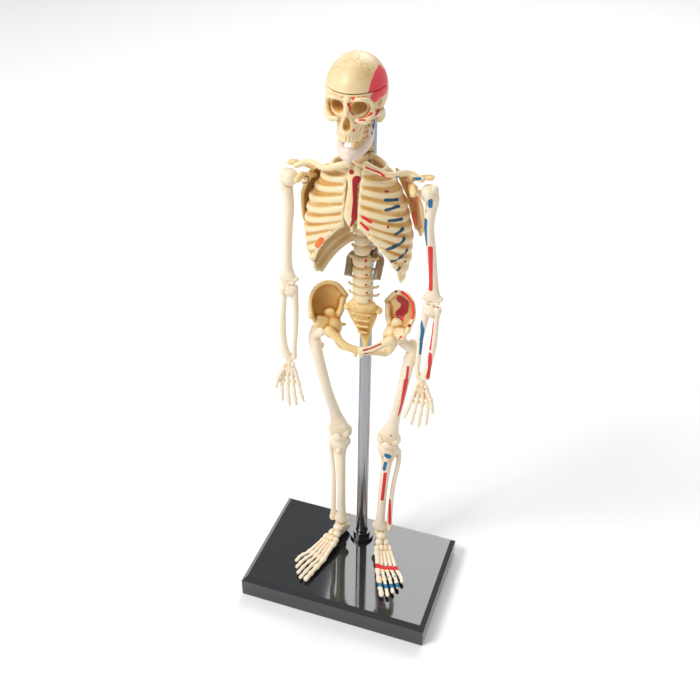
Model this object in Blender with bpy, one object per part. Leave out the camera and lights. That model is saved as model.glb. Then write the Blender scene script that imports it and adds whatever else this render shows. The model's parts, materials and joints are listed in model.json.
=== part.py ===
"""Desk-top human skeleton model on a stand, built as separate moulded pieces.

Lengths are in millimetres and are turned into metres where a mesh is made.
The origin is the centre of the base's underside, +Z is up, the figure faces -Y,
and its left side is at +X. Every piece is one closed solid in its own object.
"""
import math

import bmesh
import bpy
import numpy as np

MM = 0.001

# ---- driving dimensions, in millimetres ----
GAP = 0.32                 # air between two pieces that meet
BASE_WIDTH = 82.0
BASE_DEPTH = 54.4
BASE_HEIGHT = 10.0
BASE_BEVEL_OUT = 2.0       # top edge bevel, measured inwards
BASE_BEVEL_DOWN = 1.7      # top edge bevel, measured downwards
BASE_WALL = 2.4
BASE_ROOF = 2.2
POLE_DIAMETER = 4.9
POLE_BEHIND = 14.5         # pole axis behind the base's centre
POLE_TOP_BELOW_CROWN = 17.0
COLLAR_FLANGE_DIAMETER = 10.4
COLLAR_FLANGE_HEIGHT = 1.4
COLLAR_SLEEVE_DIAMETER = 7.6
COLLAR_SLEEVE_HEIGHT = 3.6
SPINE_TO_POLE = 0.8        # air between the spine's back and the pole
FIGURE_TURN = 5.0          # degrees the figure is turned on the pole

SOLE_CLEARANCE = 0.8       # the feet hang this far above the base
FOOT_HEIGHT = 8.4
FOOT_LENGTH = 37.6
FOOT_HALF_WIDTH = 5.6
SHIN_LENGTH = 46.8
THIGH_LENGTH = 60.4
ANKLE_HALF_SPAN = 9.2
KNEE_HALF_SPAN = 10.6
HIP_HALF_SPAN = 13.3
TROCHANTER_HALF_SPAN = 21.6
FEMUR_HEAD_RADIUS = 3.0
CONDYLE_HALF_WIDTH = 4.9
TOE_OUT = 23.0             # degrees

PELVIS_RISE = 13.4         # hip centres to the top of the sacrum
PELVIS_CREST_RISE = 17.4   # hip centres to the top of the iliac crest
PELVIS_HALF_WIDTH = 19.6
SACRUM_HALF_WIDTH = 6.9
SACRUM_LENGTH = 23.5
LUMBAR_LENGTH = 20.0
LUMBAR_HALF_WIDTH = 3.6
LUMBAR_HALF_DEPTH = 3.2
THORAX_LENGTH = 39.2
RIBCAGE_HALF_WIDTH = 19.2
RIBCAGE_HALF_DEPTH = 11.4
RIB_WALL = 1.25
RIB_COUNT = 10
RIB_RELIEF = 0.45
STERNUM_HALF_WIDTH = 2.4
STERNUM_LENGTH = 19.0
NECK_LENGTH = 13.4
NECK_HALF_WIDTH = 2.5

CRANIUM_HALF_WIDTH = 9.9
CRANIUM_HALF_DEPTH = 12.4
CRANIUM_HALF_HEIGHT = 11.4
CRANIUM_WALL = 1.3
CAP_HEIGHT = 9.3           # crown to the cut round the skull
FACE_HALF_WIDTH = 8.0
FACE_LENGTH = 16.4         # cut plane of the brow to the upper teeth
JAW_HALF_WIDTH = 6.1
JAW_DEPTH = 9.5            # hinge to the chin's lowest point

SHOULDER_HALF_SPAN = 24.0
SHOULDER_DROP = 7.6        # top of the thorax to the shoulder joint
LEFT_ARM_SPLAY = 2.7       # how much further out than the shoulder the left elbow hangs
LEFT_FOREARM_TUCK = 2.2    # how much further in than the elbow the left wrist hangs
RIGHT_ARM_SPLAY = 3.1
RIGHT_FOREARM_TUCK = -1.2
UPPER_ARM_LENGTH = 45.6
FOREARM_LENGTH = 36.0
HAND_LENGTH = 21.5
HUMERUS_HEAD_RADIUS = 3.1
PEG_RADIUS = 1.1
PEG_LENGTH = 2.2
FORK_BAR_RADIUS = 1.6
FORK_HALF_SPAN = 5.9

# ---- levels and places that follow from them ----
POLE_RADIUS = POLE_DIAMETER / 2
SPINE_Y = POLE_BEHIND - POLE_RADIUS - SPINE_TO_POLE - LUMBAR_HALF_DEPTH
ANKLE_Z = BASE_HEIGHT + SOLE_CLEARANCE + FOOT_HEIGHT
KNEE_Z = ANKLE_Z + SHIN_LENGTH
HIP_Z = KNEE_Z + THIGH_LENGTH
SACRUM_Z = HIP_Z + PELVIS_RISE
LUMBAR_Z = SACRUM_Z + LUMBAR_LENGTH
THORAX_Z = LUMBAR_Z + THORAX_LENGTH
NECK_Z = THORAX_Z + NECK_LENGTH
CRANIUM_Z = NECK_Z + CRANIUM_HALF_HEIGHT + GAP
CRANIUM_Y = SPINE_Y - 9.0
CROWN_Z = CRANIUM_Z + CRANIUM_HALF_HEIGHT
CUT_Z = CROWN_Z - CAP_HEIGHT
JAW_AXIS_Y = CRANIUM_Y + 0.2
JAW_AXIS_Z = NECK_Z + 1.5
HIP_Y = SPINE_Y + 0.2
KNEE_Y = SPINE_Y + 7.0
ANKLE_Y = SPINE_Y + 3.9
SHOULDER_Z = THORAX_Z - SHOULDER_DROP
SHOULDER_Y = SPINE_Y - 9.6
ELBOW_Y = SHOULDER_Y + 4.6
WRIST_Y = SHOULDER_Y + 6.4
ELBOW_Z = SHOULDER_Z - UPPER_ARM_LENGTH
WRIST_Z = ELBOW_Z - FOREARM_LENGTH

# ---- finishes ----
FINISHES = {
    "ivory_plastic": ((0.88, 0.78, 0.56), 0.42, 0.0),
    "pelvis_plastic": ((0.80, 0.64, 0.34), 0.42, 0.0),
    "black_plastic": ((0.012, 0.012, 0.014), 0.08, 0.0),
    "polished_tube": ((0.62, 0.63, 0.65), 0.22, 1.0),
    "smoke_plastic": ((0.30, 0.28, 0.24), 0.20, 0.0),
}


def finish(name):
    """Principled material with one of the colours, roughnesses and metallic values."""
    material = bpy.data.materials.get(name)
    if material:
        return material
    colour, roughness, metallic = FINISHES[name]
    material = bpy.data.materials.new(name)
    material.use_nodes = True
    shader = material.node_tree.nodes["Principled BSDF"]
    shader.inputs["Base Color"].default_value = (*colour, 1.0)
    shader.inputs["Roughness"].default_value = roughness
    shader.inputs["Metallic"].default_value = metallic
    return material


# ---- shape helpers: a solid is (vertices, faces), in millimetres ----
def unit(vectors):
    """Vectors scaled to length one, along the last axis."""
    vectors = np.asarray(vectors, dtype=float)
    return vectors / np.linalg.norm(vectors, axis=-1, keepdims=True)


def curve(points, count):
    """Catmull-Rom curve through the points, sampled at count even steps."""
    points = np.asarray(points, dtype=float)
    padded = np.vstack([2 * points[0] - points[1], points, 2 * points[-1] - points[-2]])
    t = np.linspace(0, len(points) - 1, count)
    i = np.minimum(t.astype(int), len(points) - 2)
    f = (t - i)[:, None]
    a, b, c, d = padded[i], padded[i + 1], padded[i + 2], padded[i + 3]
    return 0.5 * (2 * b + (c - a) * f + (2 * a - 5 * b + 4 * c - d) * f ** 2
                  + (3 * b - a - 3 * c + d) * f ** 3)


def loft(rings):
    """Closed body through rings of equal length, an array (rings, points, 3)."""
    rings = np.asarray(rings, dtype=float)
    count, points = rings.shape[:2]
    faces = [tuple(reversed(range(points)))]
    for row in range(count - 1):
        for k in range(points):
            a, b = row * points + k, row * points + (k + 1) % points
            faces.append((a, b, b + points, a + points))
    faces.append(tuple((count - 1) * points + k for k in range(points)))
    return rings.reshape(-1, 3), faces


def sweep(path, radii, sides=8, side=(1.0, 0.0, 0.0)):
    """Oval section carried along a path; radii are (along side, across side)."""
    path = np.asarray(path, dtype=float)
    radii = np.asarray(radii, dtype=float)
    tangent = unit(np.gradient(path, axis=0))
    side = np.broadcast_to(np.asarray(side, dtype=float), path.shape)
    side = unit(side - tangent * np.sum(side * tangent, axis=1, keepdims=True))
    across = np.cross(tangent, side)
    angle = np.arange(sides) * 2 * math.pi / sides
    rings = (path[:, None] + side[:, None] * (radii[:, 0, None] * np.cos(angle))[..., None]
             + across[:, None] * (radii[:, 1, None] * np.sin(angle))[..., None])
    return loft(rings)


def bone(points, widths, rings=9, sides=8, side=(1.0, 0.0, 0.0)):
    """Smooth sweep through a few points, with (half width, half depth) at each."""
    return sweep(curve(points, rings), curve(widths, rings), sides, side)


def ellipsoid(centre, radii, sides=14, rings=9):
    """Ellipsoid with its poles on Z."""
    polar = np.linspace(0.12, math.pi - 0.12, rings)
    centre = np.asarray(centre, dtype=float)
    path = np.stack([np.full(rings, centre[0]), np.full(rings, centre[1]),
                     centre[2] - radii[2] * np.cos(polar)], axis=1)
    across = np.stack([radii[0] * np.sin(polar), radii[1] * np.sin(polar)], axis=1)
    return sweep(path, across, sides)


def rod(start, end, radius, sides=16):
    """Straight round rod between two points."""
    side = (1.0, 0.0, 0.0) if abs(end[0] - start[0]) < 1e-6 else (0.0, 0.0, 1.0)
    return sweep([start, end], [(radius, radius)] * 2, sides, side)


def box(low, high):
    """Upright block between two corners."""
    x, y = (low[0], high[0]), (low[1], high[1])
    outline = [(x[0], y[0]), (x[1], y[0]), (x[1], y[1]), (x[0], y[1])]
    return loft([[(*p, z) for p in outline] for z in (low[2], high[2])])


def slab(grid, thickness):
    """Plate of even thickness about a grid of points (rows, columns, 3)."""
    grid = np.asarray(grid, dtype=float)
    along = np.gradient(grid, axis=0)
    across = np.gradient(grid, axis=1)
    normal = unit(np.cross(along, across))
    return shell(grid + normal * thickness / 2, grid - normal * thickness / 2)


def shell(outer, inner):
    """Closed wall between two grids of the same size."""
    rows, columns = outer.shape[:2]
    faces = []
    for r in range(rows - 1):
        for c in range(columns - 1):
            a = r * columns + c
            quad = (a, a + 1, a + columns + 1, a + columns)
            faces.append(quad)
            faces.append(tuple(i + rows * columns for i in reversed(quad)))
    border = [(0, c) for c in range(columns)]
    border += [(r, columns - 1) for r in range(1, rows)]
    border += [(rows - 1, c) for c in range(columns - 2, -1, -1)]
    border += [(r, 0) for r in range(rows - 2, 0, -1)]
    rim = [r * columns + c for r, c in border]
    for a, b in zip(rim, rim[1:] + rim[:1]):
        faces.append((b, a, a + rows * columns, b + rows * columns))
    return np.vstack([outer.reshape(-1, 3), inner.reshape(-1, 3)]), faces


def mirrored(solid, hand):
    """The solid itself for hand +1, or its mirror image across x = 0 for -1."""
    points, faces = solid
    if hand > 0:
        return solid
    return points * np.array([-1.0, 1.0, 1.0]), [tuple(reversed(f)) for f in faces]


def to_mesh(name, solid):
    """Blender mesh of a solid, in metres, with its faces pointing out."""
    points, faces = solid
    mesh = bpy.data.meshes.new(name)
    mesh.from_pydata((np.asarray(points) * MM).tolist(), [], faces)
    work = bmesh.new()
    work.from_mesh(mesh)
    bmesh.ops.recalc_face_normals(work, faces=work.faces)
    work.to_mesh(mesh)
    work.free()
    return mesh


def combine(mesh, solid, operation, solver="EXACT"):
    """Mesh after one Boolean with a solid."""
    body = bpy.data.objects.new("body", mesh)
    tool = bpy.data.objects.new("tool", to_mesh("tool", solid))
    for item in (body, tool):
        bpy.context.scene.collection.objects.link(item)
    modifier = body.modifiers.new("step", "BOOLEAN")
    modifier.operation = operation
    modifier.object = tool
    modifier.solver = solver
    depsgraph = bpy.context.evaluated_depsgraph_get()
    result = bpy.data.meshes.new_from_object(body.evaluated_get(depsgraph))
    for item in (body, tool):
        bpy.data.objects.remove(item)
    return result


def moulded(solids, cuts=(), hand=1):
    """Mesh of solids united, with the cuts taken away."""
    mesh = to_mesh("moulding", mirrored(solids[0], hand))
    for solid in solids[1:]:
        mesh = combine(mesh, mirrored(solid, hand), "UNION")
    for solid in cuts:
        mesh = combine(mesh, mirrored(solid, hand), "DIFFERENCE")
    return mesh


def place(name, look, mesh, pivot=(0.0, 0.0, 0.0), hand=1, holder=None):
    """One named object with its origin at pivot, held by the turned figure or by nothing."""
    mesh.name = name
    origin = np.array(pivot) * (hand, 1, 1) * MM
    points = np.empty(len(mesh.vertices) * 3, dtype=np.float32)
    mesh.vertices.foreach_get("co", points)
    mesh.vertices.foreach_set("co", (points.reshape(-1, 3) - origin).astype(np.float32).ravel())
    mesh.materials.clear()
    mesh.materials.append(finish(look))
    mesh.shade_smooth()
    mesh.set_sharp_from_angle(angle=math.radians(50))
    item = bpy.data.objects.new(name, mesh)
    item.location = origin
    bpy.context.scene.collection.objects.link(item)
    if holder:
        item.parent = holder
        item.location = origin - np.array(holder.location)
    return item


def piece(name, look, solids, cuts=(), pivot=(0.0, 0.0, 0.0), hand=1):
    """One moulded piece of the figure, turned with it about the pole."""
    holder = bpy.data.objects["figure"]
    return place(name, look, moulded(solids, cuts, hand), pivot, hand, holder)


def figure_empty():
    """Empty on the pole's axis that turns the whole figure."""
    empty = bpy.data.objects.new("figure", None)
    empty.location = (0.0, POLE_BEHIND * MM, 0.0)
    empty.rotation_euler = (0.0, 0.0, math.radians(FIGURE_TURN))
    bpy.context.scene.collection.objects.link(empty)


# ---- stand ----
def stand():
    """Bevelled hollow base, stepped collar, round pole and the fork behind the waist."""
    def outline(inset, z):
        x, y = BASE_WIDTH / 2 - inset, BASE_DEPTH / 2 - inset
        return [(-x, -y, z), (x, -y, z), (x, y, z), (-x, y, z)]

    top = BASE_HEIGHT
    block = loft([outline(0, 0), outline(0, top - BASE_BEVEL_DOWN), outline(BASE_BEVEL_OUT, top)])
    hollow = box((-BASE_WIDTH / 2 + BASE_WALL, -BASE_DEPTH / 2 + BASE_WALL, -1.0),
                 (BASE_WIDTH / 2 - BASE_WALL, BASE_DEPTH / 2 - BASE_WALL, top - BASE_ROOF))
    socket_bottom = (0, POLE_BEHIND, 1.2)
    socket = rod(socket_bottom, (0, POLE_BEHIND, top - BASE_ROOF / 2), POLE_RADIUS + GAP + 1.6)
    pole_hole = rod((0, POLE_BEHIND, -1.0), (0, POLE_BEHIND, top + 1), POLE_RADIUS + GAP)
    tray = combine(moulded([block], [hollow]), socket, "UNION")
    place("base_plate", "black_plastic", combine(tray, pole_hole, "DIFFERENCE"))

    z = top + GAP
    steps = [(COLLAR_FLANGE_DIAMETER / 2, z), (COLLAR_FLANGE_DIAMETER / 2, z + COLLAR_FLANGE_HEIGHT),
             (COLLAR_SLEEVE_DIAMETER / 2, z + COLLAR_FLANGE_HEIGHT),
             (COLLAR_SLEEVE_DIAMETER / 2, z + COLLAR_SLEEVE_HEIGHT)]
    flange = rod((0, POLE_BEHIND, steps[0][1]), (0, POLE_BEHIND, steps[1][1]), steps[0][0], 28)
    sleeve = rod((0, POLE_BEHIND, steps[0][1] + 0.5), (0, POLE_BEHIND, steps[3][1]), steps[2][0], 28)
    bore = rod((0, POLE_BEHIND, z - 1), (0, POLE_BEHIND, steps[3][1] + 1), POLE_RADIUS + GAP, 28)
    place("pole_collar", "black_plastic", moulded([flange, sleeve], [bore]))

    pole_top = CROWN_Z - POLE_TOP_BELOW_CROWN
    place("support_pole", "polished_tube",
          moulded([rod((0, POLE_BEHIND, 1.5), (0, POLE_BEHIND, pole_top), POLE_RADIUS, 28)]))

    clamp_z = LUMBAR_Z - 3.0
    clamp = rod((0, POLE_BEHIND, clamp_z - 2.2), (0, POLE_BEHIND, clamp_z + 2.2),
                POLE_RADIUS + GAP + 1.4, 24)
    mouth = box((-POLE_RADIUS - 0.5, POLE_BEHIND - 9, clamp_z - 4),
                (POLE_RADIUS + 0.5, POLE_BEHIND - 1.4, clamp_z + 4))
    bars = []
    for hand in (1, -1):
        bars.append(mirrored(bone([(POLE_RADIUS + GAP + 0.9, POLE_BEHIND - 0.2, clamp_z + 0.2),
                                   (FORK_HALF_SPAN, POLE_BEHIND - 2.9, clamp_z - 0.4),
                                   (FORK_HALF_SPAN, POLE_BEHIND - 5.6, clamp_z - 3.1),
                                   (FORK_HALF_SPAN, POLE_BEHIND - 8.6, clamp_z - 6.3)],
                                  [(FORK_BAR_RADIUS, FORK_BAR_RADIUS)] * 4, 8, 10, (0.0, 0.7, -0.7)), hand))
    bore = rod((0, POLE_BEHIND, clamp_z - 4), (0, POLE_BEHIND, clamp_z + 4), POLE_RADIUS + GAP, 24)
    piece("spine_fork", "smoke_plastic", [clamp] + bars, [bore, mouth])


# ---- head ----
def skull():
    """Hollow brain case with a face, cut round above the brow, and a hinged jaw."""
    centre = (0, CRANIUM_Y, CRANIUM_Z)
    radii = np.array([CRANIUM_HALF_WIDTH, CRANIUM_HALF_DEPTH, CRANIUM_HALF_HEIGHT])
    outer = ellipsoid(centre, radii, 16, 11)
    brow = 1.6
    cavity = ellipsoid((0, CRANIUM_Y + brow, CRANIUM_Z + 0.3), radii - CRANIUM_WALL - (0, brow, 0.3), 14, 9)
    reach = 2 * CRANIUM_HALF_DEPTH
    above = box((-reach, CRANIUM_Y - reach, CUT_Z), (reach, CRANIUM_Y + reach, CROWN_Z + 5))
    below = box((-reach, CRANIUM_Y - reach, NECK_Z - reach), (reach, CRANIUM_Y + reach, CUT_Z + GAP))
    foot = box((-reach, CRANIUM_Y - reach, NECK_Z - reach), (reach, CRANIUM_Y + reach, NECK_Z + GAP))

    front = CRANIUM_Y - CRANIUM_HALF_DEPTH
    teeth_z = CUT_Z - FACE_LENGTH

    def level(z, half, nose_y, back_y):
        """Half-round outline of the face at one height."""
        angle = np.linspace(-math.pi / 2, math.pi / 2, 9)
        arc = [(half * math.sin(a), nose_y + (back_y - nose_y) * (1 - math.cos(a)) * 0.75, z)
               for a in angle]
        return arc + [(half * 0.7, back_y, z), (-half * 0.7, back_y, z)]

    face = loft([level(teeth_z, 3.9, front + 1.6, front + 9.0),
                 level(teeth_z + 3.6, 4.9, front + 1.0, front + 9.5),
                 level(teeth_z + 7.6, FACE_HALF_WIDTH, front + 1.2, front + 9.5),
                 level(teeth_z + 13.0, FACE_HALF_WIDTH, front + 0.2, front + 9.5),
                 level(CUT_Z - 0.8, FACE_HALF_WIDTH - 1.4, front + 0.6, front + 8.0)])
    cuts = []
    for hand in (1, -1):
        cuts.append(mirrored(ellipsoid((4.3, front - 0.2, CUT_Z - 4.9), (2.6, 3.4, 2.2), 10, 6), hand))
    cuts.append(ellipsoid((0, front + 0.2, CUT_Z - 9.4), (1.3, 2.4, 2.1), 8, 6))
    neck_hole = rod((0, SPINE_Y - 4.6, NECK_Z - 2), (0, SPINE_Y - 4.6, NECK_Z + 5), PEG_RADIUS + 0.3 + GAP)
    # near-tangent walls between the face and the brain case need the manifold solver
    case = combine(to_mesh("case", outer), foot, "DIFFERENCE", "MANIFOLD")
    case = combine(case, face, "UNION", "MANIFOLD")
    for cut in [above, cavity, neck_hole] + cuts:
        case = combine(case, cut, "DIFFERENCE", "MANIFOLD")
    place("skull_base", "ivory_plastic", case, (0, SPINE_Y - 4.6, NECK_Z), 1, bpy.data.objects["figure"])
    piece("skull_cap", "ivory_plastic", [outer], [cavity, below], (0, CRANIUM_Y, CUT_Z))

    chin_z = JAW_AXIS_Z - JAW_DEPTH
    path = [(JAW_HALF_WIDTH + 0.2, JAW_AXIS_Y, JAW_AXIS_Z + 0.2),
            (JAW_HALF_WIDTH, JAW_AXIS_Y - 0.6, JAW_AXIS_Z - 4.2),
            (JAW_HALF_WIDTH - 0.9, JAW_AXIS_Y - 2.6, chin_z + 3.8),
            (JAW_HALF_WIDTH - 2.4, JAW_AXIS_Y - 7.8, chin_z + 2.6),
            (0, JAW_AXIS_Y - 11.2, chin_z + 1.9)]
    full = path + [(-x, y, z) for x, y, z in reversed(path[:-1])]
    spine = curve(full, 25)
    outward = unit((spine - (0, JAW_AXIS_Y - 1.0, 0)) * (1, 1, 0))
    half = [(0.75, 1.2), (0.75, 2.1), (0.8, 2.0), (0.9, 1.7), (0.9, 1.9)]
    half = curve(half + half[-2::-1], 25)
    piece("mandible", "ivory_plastic", [sweep(spine, half, 8, outward)], (),
          (0, JAW_AXIS_Y, JAW_AXIS_Z))


# ---- spine, ribs and shoulders ----
def column(name, points, half_width, half_depth, count, look="ivory_plastic", extra=()):
    """Stack of vertebrae: a swept column that swells at every body of bone."""
    rings = 2 * count + 1
    path = curve(points, rings)
    swell = 1 - 0.13 * (np.arange(rings) % 2 == 0)
    widths = np.stack([np.linspace(half_width[0], half_width[1], rings) * swell,
                       np.linspace(half_depth[0], half_depth[1], rings) * swell], axis=1)
    return piece(name, look, [sweep(path, widths, 10)] + list(extra))


def spine():
    """Neck, chest and loin parts of the spine, and the sacrum with its tail."""
    neck_y = SPINE_Y - 4.6
    peg = rod((0, neck_y, NECK_Z - 1.0), (0, neck_y, NECK_Z + PEG_LENGTH), PEG_RADIUS + 0.3, 12)
    column("cervical_spine", [(0, neck_y, NECK_Z), (0, neck_y + 0.4, NECK_Z - NECK_LENGTH / 2),
                              (0, SPINE_Y - 1.6, THORAX_Z + GAP + 0.6)],
           (NECK_HALF_WIDTH, NECK_HALF_WIDTH + 0.3), (2.1, 2.4), 7, extra=[peg])
    column("thoracic_spine", [(0, SPINE_Y - 1.6, THORAX_Z), (0, SPINE_Y + 0.1, THORAX_Z - THORAX_LENGTH * 0.4),
                              (0, SPINE_Y + 0.1, LUMBAR_Z + GAP)],
           (2.7, LUMBAR_HALF_WIDTH - 0.3), (2.4, LUMBAR_HALF_DEPTH - 0.3), 12)
    column("lumbar_spine", [(0, SPINE_Y, LUMBAR_Z), (0, SPINE_Y - 0.5, LUMBAR_Z - LUMBAR_LENGTH / 2),
                            (0, SPINE_Y - 0.2, SACRUM_Z + GAP + 0.2)],
           (LUMBAR_HALF_WIDTH, LUMBAR_HALF_WIDTH + 0.2), (LUMBAR_HALF_DEPTH, LUMBAR_HALF_DEPTH), 5)
    low = SACRUM_Z - SACRUM_LENGTH
    points = [(0, SPINE_Y - 0.2, SACRUM_Z), (0, SPINE_Y + 0.6, SACRUM_Z - 6.0),
              (0, SPINE_Y + 1.9, SACRUM_Z - 14.0), (0, SPINE_Y + 1.3, low)]
    widths = [(SACRUM_HALF_WIDTH, 2.9), (SACRUM_HALF_WIDTH - 1.2, 2.4), (3.3, 1.5), (0.9, 0.8)]
    piece("sacrum", "pelvis_plastic", [bone(points, widths, 9, 10)])


def chest(z):
    """Half width, front y and back y of the rib cage's outer surface at a height."""
    share = (THORAX_Z - np.asarray(z, dtype=float)) / (THORAX_LENGTH + 8.0)
    knots = np.array([0.0, 0.12, 0.32, 0.56, 0.76, 1.0])
    width = np.interp(share, knots, np.array([0.36, 0.64, 0.88, 1.0, 0.97, 0.80])) * RIBCAGE_HALF_WIDTH
    depth = np.interp(share, knots, np.array([0.52, 0.72, 0.93, 1.0, 0.97, 0.86])) * RIBCAGE_HALF_DEPTH
    back = SPINE_Y + np.interp(share, knots, np.array([1.2, 3.6, 5.4, 6.2, 6.0, 5.2]))
    return width, back - 2 * depth, back


def chest_point(angle, z, out=0.0):
    """Point on the rib cage, angle from the breast bone round to the spine."""
    width, front, back = chest(z)
    middle, depth = (front + back) / 2, (back - front) / 2
    return np.stack([(width + out) * np.sin(angle), middle - (depth + out) * np.cos(angle),
                     np.broadcast_to(z, np.shape(angle))], axis=-1)


def rib_half():
    """One side of the rib cage as a wall, grooved between its ribs."""
    rows, columns = 2 * RIB_COUNT + 1, 11
    v = np.linspace(0, 1, rows)[:, None]
    u = np.linspace(0, 1, columns)[None, :]
    top = THORAX_Z - 1.8 - 1.6 * u
    low = THORAX_Z - np.interp(u, [0.0, 0.18, 0.42, 0.62, 0.85, 1.0],
                               [STERNUM_LENGTH + 1.0, STERNUM_LENGTH + 8.5, THORAX_LENGTH + 5.6,
                                THORAX_LENGTH + 7.4, THORAX_LENGTH - 1.0, THORAX_LENGTH - 3.5])
    z = top + v * (low - top)
    width, _, _ = chest(z)
    start = np.arcsin((STERNUM_HALF_WIDTH + GAP + 0.2) / width)
    finish_angle = math.pi - np.arcsin((LUMBAR_HALF_WIDTH + 0.8) / width)
    angle = start + u * (finish_angle - start)
    relief = np.where(np.arange(rows)[:, None] % 2 == 1, 0.0, -RIB_RELIEF)
    relief = np.broadcast_to(relief, angle.shape)
    outer = chest_point(angle, z, relief)
    inner = chest_point(angle, z, -RIB_WALL)
    return shell(outer, inner)


def ribs_and_sternum():
    """Breast bone and the two halves of the rib cage."""
    z = np.linspace(THORAX_Z - 0.4, THORAX_Z - STERNUM_LENGTH, 7)
    _, front, _ = chest(z)
    width = np.interp(np.linspace(0, 1, 7), [0, 0.15, 0.35, 0.8, 1], [0.72, 1.0, 0.72, 0.95, 0.55])
    path = np.stack([np.zeros(7), front + 0.6, z], axis=1)
    piece("sternum", "ivory_plastic",
          [sweep(path, np.stack([width * STERNUM_HALF_WIDTH, np.full(7, 0.85)], axis=1), 8)])
    for name, hand in (("rib_cage_left", 1), ("rib_cage_right", -1)):
        piece(name, "ivory_plastic", [rib_half()], hand=hand)


def shoulder_girdle():
    """Collar bones and shoulder blades."""
    joint = np.array([SHOULDER_HALF_SPAN, SHOULDER_Y, SHOULDER_Z])
    _, front, _ = chest(THORAX_Z - 1.0)
    collar_bone = bone([(3.0, front - 0.4, THORAX_Z + 1.0), (9.0, front - 1.6, THORAX_Z + 0.6),
                        (15.5, front + 1.2, THORAX_Z - 0.2), joint + (-2.2, -0.4, 5.0)],
                       [(1.15, 1.15), (0.85, 0.85), (0.9, 0.9), (1.2, 0.75)], 10, 8, (0.0, 1.0, 0.0))
    v = np.linspace(0, 1, 7)[:, None]
    u = np.linspace(0, 1, 6)[None, :]
    z = THORAX_Z - 6.4 - 20.5 * v + 0.0 * u
    first, last = math.radians(84), math.radians(130)
    angle = first + (last - first) * u * (1 - 0.6 * v) + math.radians(16) * v
    blade = slab(chest_point(angle, z, 1.7 + 0.0 * u), 1.1)
    corner = chest_point(np.array(first), THORAX_Z - 7.4, 2.6)
    neck = bone([corner + (-0.6, 2.0, -1.4), corner + (0.4, -0.6, -0.4),
                 (joint[0] - HUMERUS_HEAD_RADIUS - 1.9, joint[1] + 0.3, joint[2])],
                [(1.0, 1.0), (1.3, 1.4), (1.5, 2.0)], 6, 8, (0.0, 1.0, 0.0))
    root = chest_point(np.array(math.radians(126)), THORAX_Z - 10.0, 2.7)
    bend = chest_point(np.array(math.radians(98)), THORAX_Z - 6.5, 3.8)
    ridge = bone([root, bend, joint + (-0.2, 4.8, 3.6), joint + (0.8, 0.6, HUMERUS_HEAD_RADIUS + 1.3)],
                 [(0.9, 0.8), (1.0, 1.0), (0.8, 1.3), (0.7, 1.6)], 9, 8, (0.0, 0.0, 1.0))
    beak_root = np.array([joint[0] - HUMERUS_HEAD_RADIUS - 1.6, joint[1], joint[2] + 1.4])
    beak = bone([beak_root, beak_root + (-0.6, -2.0, 1.2), beak_root + (0.4, -4.4, 0.4)],
                [(1.1, 1.1), (1.0, 1.0), (0.9, 0.9)], 6, 8, (0.0, 0.0, 1.0))
    pin_hole = rod((joint[0] - 7.2, joint[1], joint[2]), (joint[0], joint[1], joint[2]),
                   PEG_RADIUS + GAP, 12)
    for side, hand in (("left", 1), ("right", -1)):
        piece("clavicle_" + side, "ivory_plastic", [collar_bone], hand=hand)
        piece("scapula_" + side, "ivory_plastic", [neck, blade, ridge, beak], [pin_hole], hand=hand)


# ---- arms ----
def finger(root, tip, radius):
    """Slightly bowed finger or toe that thins towards its tip."""
    root, tip = np.asarray(root, dtype=float), np.asarray(tip, dtype=float)
    middle = (root + tip) / 2 + (0, -0.5, 0.3)
    return bone([root, middle, tip], [(radius, radius), (radius * 0.85, radius * 0.85),
                                      (radius * 0.7, radius * 0.7)], 5, 6, (1.0, 0.2, 0.1))


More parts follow.
